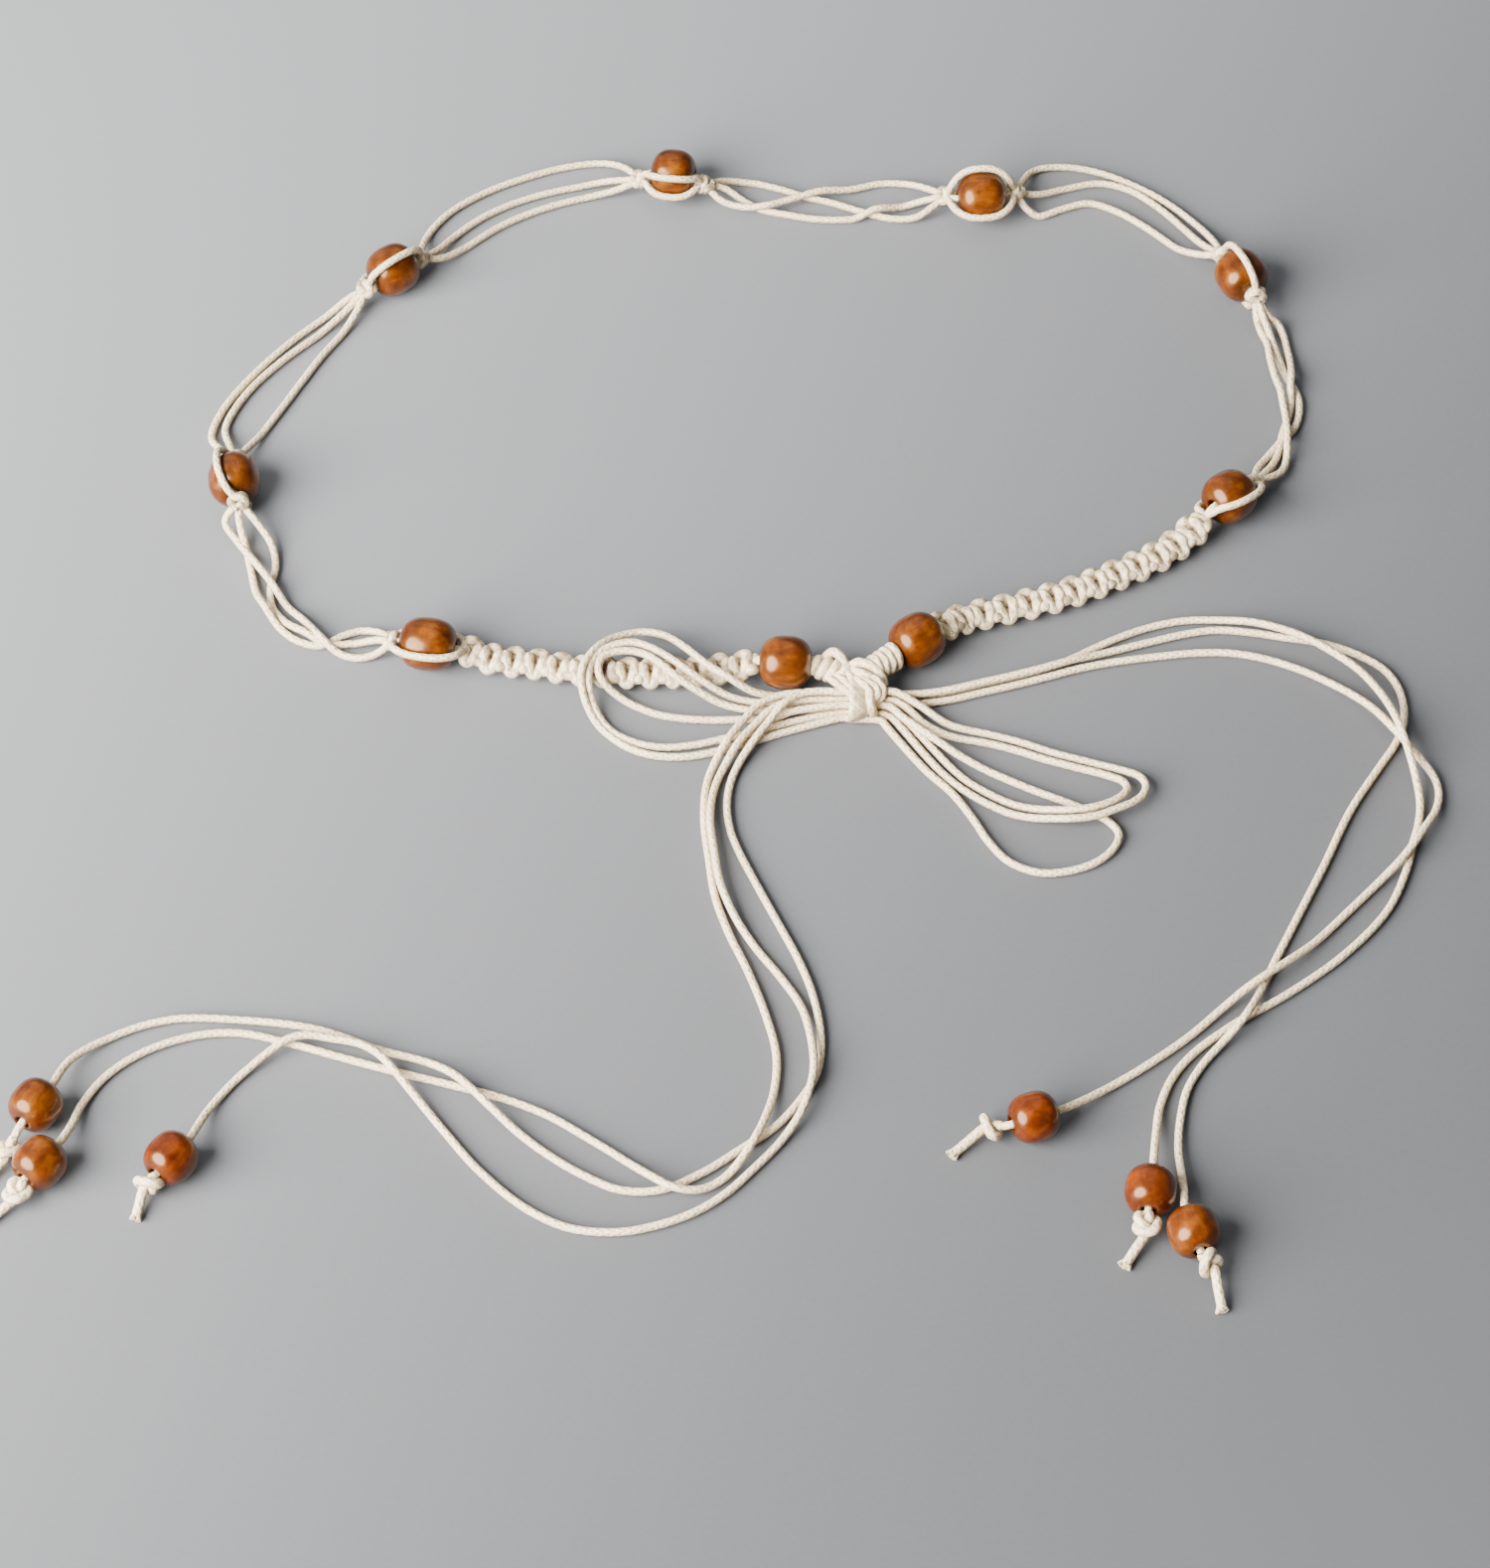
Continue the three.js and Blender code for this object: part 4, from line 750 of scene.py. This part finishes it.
def square_knot_tree():
    """Square knots along a curve. One working cord always crosses in front of the core and the
    other behind it, and they change sides at every half knot. Ease is how far a crossing leans,
    gather pairs the crossings, tuck draws in every other loop, and lag sets the back cord later.
    At the sides the two cords pass partly through one another."""
    sizes = ("Step", "Half pitch", "Half width", "Half height", "Front ease", "Back ease", "Gather",
             "Tuck", "Lag", "Taper", "Core spread", "Core diameter")
    make, given = open_tree("square_knots", {**dict.fromkeys(sizes, "Float"), **CORD_SIZES})
    fine = make("GeometryNodeResampleCurve", {"mode": "LENGTH"}, given["Geometry"], Length=given["Step"])
    along = make("GeometryNodeSplineParameter", out="Length")
    tangent = make("GeometryNodeInputTangent")
    upright = make("ShaderNodeCombineXYZ", None, 0.0, 0.0, 1.0)
    across = upright.vector("CROSS_PRODUCT", tangent).vector("NORMALIZE")
    up = tangent.vector("CROSS_PRODUCT", across)
    whole = make("GeometryNodeSplineLength", out="Length")
    nearest_end = along.math("MINIMUM", whole - along)
    open_share = nearest_end.ranged(0.0, given["Taper"], interpolation_type="SMOOTHSTEP")

    # Each strand has an amount of painted shade, standing in for the shade deep in a knot
    def strand(sideways, lift, slip, diameter, buried):
        moved = across.scaled(sideways * open_share)
        moved = moved.vector("ADD", up.scaled(lift * open_share))
        moved = moved.vector("ADD", tangent.scaled(slip * open_share))
        path = make("GeometryNodeSetPosition", None, fine, None, None, moved)
        return swept(make, path, given, diameter, buried=buried)

    def worked(side, phase, ease, crossing_lift, loop_lift):
        swing = phase.math("SINE")
        swing = swing * (given["Tuck"] * 0.5 + 0.5) + swing.math("ABSOLUTE") * (0.5 - given["Tuck"] * 0.5)
        crossing = phase.math("COSINE").math("POWER", 2.0)
        lift = crossing * (crossing_lift - loop_lift) + loop_lift
        slip = (phase * 2).math("SINE") * ease + phase.math("COSINE") * given["Gather"]
        # The lower a working cord lies in the knot, the more painted shade it gets
        return strand(swing * given["Half width"] * side, lift * given["Half height"], slip * -1,
                      given["Diameter"], (0.4 - lift * 0.8).math("MAXIMUM", 0.0))

    phase = along * pi / given["Half pitch"]
    cords = [
        worked(-1, phase, given["Front ease"], 1, -0.3),
        worked(1, phase - given["Lag"], given["Back ease"], -1, 0.45),
        # The core cords get full painted shade
        strand(given["Core spread"], 0.0, 0.0, given["Core diameter"], 1.0),
        strand(given["Core spread"] * -1, 0.0, 0.0, given["Core diameter"], 1.0),
    ]
    return close_tree(make, make("GeometryNodeJoinGeometry", None, cords), given["Material"])


def fibre_tree():
    """Fine loose fibres that stand on a surface, leaning at random"""
    sizes = ("Density", "Length", "Thickness", "Lean")
    make, given = open_tree(
        "loose_fibres", {**dict.fromkeys(sizes, "Float"), "Seed": "Int", "Material": "Material"},
    )
    points = make("GeometryNodeDistributePointsOnFaces", None, given["Geometry"],
                  Density=given["Density"], Seed=given["Seed"])
    lean = make("FunctionNodeRandomValue", {"data_type": "FLOAT_VECTOR"}, (-1, -1, -1), (1, 1, 1),
                Seed=given["Seed"])
    way = points.out("Normal").vector("ADD", lean.scaled(given["Lean"]))
    turned = make("FunctionNodeAlignRotationToVector", {"axis": "Z"}, Vector=way)
    tip = make("ShaderNodeCombineXYZ", None, 0.0, 0.0, given["Length"])
    line = make("GeometryNodeCurvePrimitiveLine", None, None, tip)
    ring = make("GeometryNodeCurvePrimitiveCircle", None, 3, Radius=given["Thickness"] * 0.5)
    hair = make("GeometryNodeCurveToMesh", None, line, ring, None, True)
    size = make("FunctionNodeRandomValue", {"data_type": "FLOAT"}, None, None, 0.45, 1.0,
                Seed=given["Seed"], out=1)
    hairs = make("GeometryNodeInstanceOnPoints", None, points, Instance=hair, Rotation=turned, Scale=size)
    return close_tree(make, hairs, given["Material"])


LAID_CORD = laid_cord_tree()
SQUARE_KNOTS = square_knot_tree()
LOOSE_FIBRES = fibre_tree()


def placed(name, data):
    """A new object in the scene"""
    thing = bpy.data.objects.new(name, data)
    bpy.context.collection.objects.link(thing)
    return thing


def grown(name, source, tree, **sizes):
    """The plain mesh that a tree makes from a source object, which is then removed"""
    modifier = source.modifiers.new("grown", "NODES")
    modifier.node_group = tree
    wanted = {label.replace("_", " ").capitalize(): value for label, value in sizes.items()}
    for item in tree.interface.items_tree:
        if item.in_out == "INPUT" and item.name in wanted:
            modifier[item.identifier] = wanted[item.name]
    evaluated = source.evaluated_get(bpy.context.evaluated_depsgraph_get())
    mesh = bpy.data.meshes.new_from_object(evaluated)
    bpy.data.objects.remove(source)
    return shown(name, mesh)


def shown(name, mesh):
    """A mesh as a smooth-shaded piece"""
    mesh.name = name
    mesh.polygons.foreach_set("use_smooth", [True] * len(mesh.polygons))
    return placed(name, mesh)


def line_source(routes):
    """A curve object with one straight-jointed spline for each route in millimetres"""
    curve = bpy.data.curves.new("route", "CURVE")
    curve.dimensions = "3D"
    for route in routes:
        spline = curve.splines.new("POLY")
        spline.points.add(len(route) - 1)
        spline.points.foreach_set("co", [value for point in route for value in (*laid(point), 1)])
    return placed("route", curve)


def cords_along(name, routes, diameter=LAID_D, sides=CORD_SIDES, flatness=1.0):
    """Cords along routes in millimetres, as one piece"""
    return grown(name, line_source(routes), LAID_CORD, diameter=diameter * MM, sides=sides,
                 unevenness=CORD_UNEVENNESS, flatness=flatness, material=COTTON)


def knots_along(name, route, proportions, diameter):
    """Square knots along a route, with their half pitch fitted to its length"""
    length = length_of(route)
    knots = max(1, round(length / (2 * proportions["half_pitch"])))
    sizes = {**proportions, "half_pitch": length / (2 * knots)}
    sizes = {key: value if key in ("tuck", "lag") else value * MM for key, value in sizes.items()}
    return grown(name, line_source([route]), SQUARE_KNOTS, step=0.1 * MM, diameter=diameter * MM,
                 sides=CORD_SIDES, unevenness=KNOT_UNEVENNESS, material=COTTON, **sizes)


def joined(name, parts):
    """Several pieces made one"""
    for part in bpy.context.view_layer.objects:
        part.select_set(part in parts)
    bpy.context.view_layer.objects.active = parts[0]
    bpy.ops.object.join()
    parts[0].name = name
    return parts[0]


def finish_piece(piece, slot, *nodes):
    """Attaches a piece to the root body and hides the solids that it stands for. Its slot, what the piece
    is made of, is not used.
    """
    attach(piece, "root")
    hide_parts(*nodes)


# Camera and light


def set_camera():
    camera = placed("camera", bpy.data.cameras.new("camera"))
    camera.data.sensor_width = SENSOR_MM
    camera.data.lens = FOCAL_PX * SENSOR_MM / FRAME_HEIGHT_PX
    aim = laid((0, 0, 0))
    camera.location = aim + DISTANCE * Vector((0, -cos(ELEVATION), sin(ELEVATION)))
    camera.rotation_euler = (pi / 2 - ELEVATION, 0, 0)
    bpy.context.scene.camera = camera


def soft_light(name, direction, distance, size, power, colour):
    """A round lamp that far from the origin in this direction, facing it, in metres and watts"""
    light = bpy.data.lights.new(name, "AREA")
    light.shape = "DISK"
    light.size = size
    light.energy = power
    light.color = colour
    lamp = placed(name, light)
    way = Vector(direction).normalized()
    lamp.location = way * distance
    lamp.rotation_euler = way.to_track_quat("Z", "Y").to_euler()


def set_light():
    soft_light(
        "window", (-0.71, -0.54, 0.46), distance=1.3, size=1.3, power=156, colour=(1.0, 0.985, 0.96),
    )
    soft_light(
        "overhead", (-0.4, 0.35, 0.85), distance=1.7, size=3.4, power=26, colour=(0.97, 0.98, 1.0),
    )
    world = bpy.data.worlds.new("studio")
    world.use_nodes = True
    sky = world.node_tree.nodes["Background"]
    sky.inputs["Color"].default_value = (0.95, 0.97, 1.0, 1)
    sky.inputs["Strength"].default_value = 0.22
    bpy.context.scene.world = world


def lay_board():
    half = 2.5
    mesh = bpy.data.meshes.new("board")
    corners = [(-half, -half, 0), (half, -half, 0), (half, half, 0), (-half, half, 0)]
    mesh.from_pydata(corners, [], [(0, 1, 2, 3)])
    mesh.materials.append(BOARD)
    board = placed("board", mesh)


set_camera()
set_light()
lay_board()

# Beads


def bead_place(bead, diameter):
    """Where a bead's middle is and how its bore is turned, in millimetres"""
    tilt = bead.get("tilt", 0)
    turn = Euler((0, radians(tilt), radians(bead["heading"]))).to_matrix()
    centre = Vector((bead["x"], bead["y"], diameter / 2 + TILT_LIFT * abs(tilt)))
    return centre, turn


def on_bead(bead, diameter, points):
    """Points given along the bore, to its left and up from it, in millimetres"""
    centre, turn = bead_place(bead, diameter)
    return [centre + turn @ Vector(point) for point in points]


def turned_bead(node, bead, length, diameter, seed):
    """A barrel turned from one piece of wood and drilled, with a slightly uneven skin"""
    name = f"{node}_turned"
    around = BEAD_SIDES
    bore = BORE_D / diameter
    start = asin(bore ** (BARREL_POWER / 2))
    half = []
    for step in range(BARREL_STEPS + 1):
        angle = start + (pi / 2 - start) * step / BARREL_STEPS
        half.append((cos(angle) ** (2 / BARREL_POWER), sin(angle) ** (2 / BARREL_POWER)))
    reach = half[0][0]
    outer = [(-share / reach, out) for share, out in half]
    outer += [(share / reach, out) for share, out in reversed(half[:-1])]
    profile = [*[(along, bore) for along in (0.9, 0.45, 0, -0.45, -0.9)], *outer]
    centre, turn = bead_place(bead, diameter)
    offset = Vector((sin(seed * 12.9), sin(seed * 78.2), sin(seed * 37.7))) * 0.05
    corners, grains, shares = [], [], []
    for along, out in profile:
        for side in range(around):
            angle = 2 * pi * side / around
            wobble = 1 + 0.006 * sin(3 * angle + seed)
            wobble += 0.004 * sin(5 * angle - 2 * along + seed)
            radius = out * diameter / 2 * (wobble if out > bore else 1)
            local = Vector((along * length / 2, radius * cos(angle), radius * sin(angle)))
            corners.append(laid(centre + turn @ local))
            grains.append(local * MM + offset)
            shares.append(abs(along))
    count = len(profile)
    faces = [
        (row * around + side, (row + 1) % count * around + side,
         (row + 1) % count * around + (side + 1) % around, row * around + (side + 1) % around)
        for row in range(count) for side in range(around)
    ]
    mesh = bpy.data.meshes.new(name)
    mesh.from_pydata(corners, [], faces)
    grain = mesh.attributes.new("grain_at", "FLOAT_VECTOR", "POINT")
    grain.data.foreach_set("vector", [value for point in grains for value in point])
    for label, values in ("end_share", shares), ("redness", [bead.get("redness", 0)] * len(corners)):
        mesh.attributes.new(label, "FLOAT", "POINT").data.foreach_set("value", values)
    mesh.materials.append(WOOD)
    turned = shown(name, mesh)
    finish_piece(turned, "bead_wood", node)
    return turned


# The free cords: loops of the bow and tails

tail_pieces = {}
for name, points in BOW_LOOPS.items():
    route = rounded(drawn_in(points))
    piece = cords_along(f"{name}_cord", [route])
    path = [laid(point) for point in route]
    finish_piece(piece, "waxed_cord", name)
    length_of(path)

for index, (side, bead) in enumerate(END_BEADS.items()):
    through = on_bead(bead, END_BEAD_D, [(along, 0, -GAP) for along in (-BORE_REACH, 0, BORE_REACH)])
    knot = Vector(bead["knot"])
    reach = (KNOT_HALF_LENGTH + GAP) / (through[2] - knot).length
    route = rounded([*drawn_in(TAILS[side]), *through, knot.lerp(through[2], min(reach, 1))])
    piece = cords_along(f"tail_{side}_cord", [route])
    finish_piece(piece, "waxed_cord", f"tail_{side}")
    turned = turned_bead(f"end_bead_{side}", bead, END_BEAD_L, END_BEAD_D, 20 + index)
    path = [laid(point) for point in route]
    tail_pieces[side] = (piece, path, turned)

# Knots under the end beads


def pulled_tight(route, thickness):
    """A knot's route drawn tight between its two ends, its turns kept a cord's thickness apart"""
    count = KNOT_POINTS
    points = evenly(route, length_of(route) / (count - 1))
    for _ in range(KNOT_ROUNDS):
        middles = [(here + there) / 2 for here, there in zip(points, points[2:])]
        points[1:-1] = [point.lerp(middle, SMOOTHING) for point, middle in zip(points[1:-1], middles)]
        apart = max(3, int(KNOT_NEIGHBOURS * thickness * count / length_of(points)))
        for _ in range(3):
            for low in range(1, count - 1 - apart):
                for high in range(low + apart, count - 1):
                    between = points[high] - points[low]
                    if between.length_squared < thickness * thickness:
                        push = between * (PUSH * (thickness / between.length - 1))
                        points[low] -= push
                        points[high] += push
        points = evenly(points, length_of(points) / (count - 1))
    return points


def loose_overhand(reach):
    """An overhand knot tied loosely in a straight cord that reaches this far each way, from the
    polynomials of a trefoil"""
    steps, half_range, scale, tallest = 60, 2.1, 1.6, 3
    turns = []
    for step in range(steps + 1):
        t = -half_range + 2 * half_range * step / steps
        height = min(max(4 * t - 0.4 * t ** 5, -tallest), tallest)
        turns.append(Vector((scale * (t ** 3 - 3 * t), scale * (t ** 4 - 4 * t ** 2 + 1.3), height)))
    return [Vector((-reach, 0, 0)), *turns, Vector((reach, 0, 0))]


def tied_end(bead, leaving):
    """The route of an end knot: out of the bead, through the knot, and on to the free end"""
    centre, end = Vector(bead["knot"]), Vector(bead["end"])
    forward, sideways, up = directions(centre - leaving)
    turn = Matrix((forward * bead["long"], sideways * bead["wide"], up)).transposed()
    turn = turn @ Matrix.Rotation(radians(bead["roll"]), 3, "X")
    route = [centre + turn @ point for point in TIGHT_KNOT]
    return [leaving, *route, route[-1].lerp(end, 0.5), end]


def frayed_end(name, tip, way, seed):
    """The cut end of a cord, its yarns spread a little and fraying"""
    pick = random.Random(seed)
    forward, sideways, up = directions(way)
    yarns = []
    for number in range(YARNS_IN_A_CORD):
        angle = 2 * pi * number / YARNS_IN_A_CORD + pick.uniform(-0.2, 0.2)
        out = spoke(angle, sideways, up)
        spread = pick.uniform(0.9, 1.3)
        yarns.append(rounded([
            tip - 2.2 * forward + 0.4 * out, tip - 1 * forward + 0.55 * out, tip + 0.8 * spread * out,
            tip + pick.uniform(0.3, 0.8) * forward + spread * out,
        ], step=0.2, lowest=0.4))
    stubs = cords_along(name, yarns, diameter=YARN_D, sides=7)
    sides = range(FRAY_SIDES)
    ring = [tip + FRAY_R * spoke(2 * pi * side / FRAY_SIDES, sideways, up) for side in sides]
    mesh = bpy.data.meshes.new(name)
    mesh.from_pydata([laid(point) for point in ring], [], [tuple(sides)])
    hairs = grown("hairs", placed(name, mesh), LOOSE_FIBRES, density=2.4e7, length=0.9 * MM,
                  thickness=0.1 * MM, lean=0.3, seed=seed, material=COTTON)
    return [stubs, hairs]


TIGHT_KNOT = [
    point for point in pulled_tight(loose_overhand(KNOT_REACH), KNOT_TURN_GAP)
    if abs(point.x) < KNOT_HALF_LENGTH
]

for index, (side, bead) in enumerate(END_BEADS.items()):
    cord, path, turned = tail_pieces[side]
    route = rounded(tied_end(bead, path[-1] / MM + LOOP_CENTRE), step=0.3)
    tied = cords_along("tied", [route], diameter=KNOT_CORD_D)
    fray = frayed_end("fray", route[-1], route[-1] - route[-12], 40 + index)
    piece = joined(f"end_knot_{side}_tied", [tied, *fray])
    finish_piece(piece, "waxed_cord", f"end_knot_{side}")
    length_of(path)

# The loop: beads held by a square knot each side, and the open runs between them


def ring_knot(place, heading, end):
    """One square knot round the core cord"""
    centre = Vector(place)
    angle = radians(heading)
    reach = RING_KNOT["half_pitch"] * Vector((cos(angle), sin(angle), 0))
    route = rounded([centre - reach, centre, centre + reach], FINE_STEP, lowest=0)
    return knots_along(f"knot_{end}", route, RING_KNOT, RING_KNOT_CORD_D)


def side_cord(bead, roll):
    """A working cord from one knot round the bead to the other knot"""
    out = BEAD_D / 2 + CORD_R + SIDE_CORD_GAP
    across, up = out * cos(radians(roll)), out * sin(radians(roll))
    length = bead.get("length", BEAD_L)
    points = [(along * length, share * across, share * up) for along, share in SIDE_BOW]
    return rounded([bead["before"], *on_bead(bead, BEAD_D, points), bead["after"]])


# The first and the last bead have a sinnet in place of one knot
sinnet_ends = {1: "before", len(RING_BEADS): "after"}
for number, bead in enumerate(RING_BEADS, 1):
    turned_bead(f"ring_bead_{number}", bead, bead.get("length", BEAD_L), BEAD_D, number)
    bore = on_bead(bead, BEAD_D, [(along * BEAD_L, 0, -CORE_DROP) for along in (-0.5, 0.5)])
    core = rounded([bead["before"], *bore, bead["after"]])
    cords = cords_along("cords", [core, *[side_cord(bead, roll) for roll in bead["rolls"]]])
    tied = [end for end in ("before", "after") if sinnet_ends.get(number) != end]
    knots = [ring_knot(bead[end], bead["heading"], end) for end in tied]
    finish_piece(joined(f"cradle_{number}_tied", [cords, *knots]), "waxed_cord", f"cradle_{number}")

for number, (strands, start, end) in enumerate(zip(SPANS, RING_BEADS, RING_BEADS[1:]), 1):
    routes = [rounded([start["after"], *strand, end["before"]]) for strand in strands]
    finish_piece(cords_along(f"span_{number}_cords", routes), "waxed_cord", f"span_{number}")

# The two sinnets
centrelines = {
    "left": [*BRAID_LEFT, STOPPERS["left"]["tip"]],
    "right": [STOPPERS["right"]["tip"], *BRAID_RIGHT],
}
for side, centreline in centrelines.items():
    route = rounded(centreline, step=0.5, lowest=2.5)
    piece = knots_along(f"braid_{side}_tied", route, SINNET, SINNET_CORD_D)
    finish_piece(piece, "waxed_cord", f"braid_{side}")

# The stopper beads, the wound bundles and the middle of the bow


def wound_route(start, end, turns, radius, lean):
    """A cord wound round a bundle. The turns lean more and more towards the end, by lean."""
    axis = (end - start).normalized()
    sideways = axis.cross(Vector((0, 0, 1))).normalized()
    up = sideways.cross(axis)
    steps = int(turns * 24)
    points = []
    for step in range(steps + 1):
        share = step / steps
        angle = 2 * pi * turns * share
        out = radius * (1 + 0.04 * sin(5 * share + 2 * angle))
        point = start.lerp(end, share) + out * spoke(angle, sideways, up)
        points.append(point + axis * lean * share * sin(angle))
    return evenly(points, FINE_STEP)


def band_route(centre, half_y, half_z, lean):
    """One flattened turn round the bow's middle"""
    steps, squareness = 48, 0.8
    middle = Vector(centre)
    points = []
    for step in range(steps + 1):
        angle = 2 * pi * step / steps
        across, up = (copysign(abs(value) ** squareness, value) for value in (cos(angle), sin(angle)))
        points.append(middle + Vector((lean * up, half_y * across, half_z * up)))
    return evenly(points, step=0.5)


for side, bead in STOPPERS.items():
    turned_bead(f"stopper_bead_{side}", bead, BEAD_L, BEAD_D, bead["seed"])
    far, mouth = on_bead(bead, BEAD_D, [(BEAD_L / 2, 0, 0), (-BEAD_L / 2 - MOUTH_GAP, 0, 0)])
    start, end = Vector(bead["start"]), Vector(bead["end"])
    core = rounded([bead["tip"], far, mouth, start, end], step=1)
    bundle = cords_along("bundle", [core], diameter=bead["bundle"])
    winding = wound_route(start, end, bead["turns"], bead["radius"], bead["lean"])
    loose = [rounded(route, FINE_STEP) for route in bead["loose"]]
    winding = cords_along("winding", [winding, *loose], diameter=WINDING_D)
    finish_piece(joined(f"wrap_{side}_wound", [bundle, winding]), "waxed_cord", f"wrap_{side}")

through = []
left, right = BOW_ENDS
for y_left, y_right, height in BOW_STRANDS:
    middle = (y_left + y_right) / 2
    through.append(rounded(drawn_in([
        (left, y_left, height), (left + BOW_EASE, y_left, height),
        *[(BOW_MIDDLE[0] + half, middle, BOW_SAG * height) for half in (-BOW_HALF, BOW_HALF)],
        (right - BOW_EASE, y_right, height), (right, y_right, height),
    ]), step=0.5))
bands = [
    cords_along(name, [band_route(**shape)], **section) for name, (shape, section) in BOW_BANDS.items()
]
arches = cords_along("arches", [rounded(route, FINE_STEP) for route in BOW_ARCHES])
through = cords_along("through", through)
finish_piece(joined("bow_knot_tied", [*bands, arches, through]), "waxed_cord", "bow_knot")
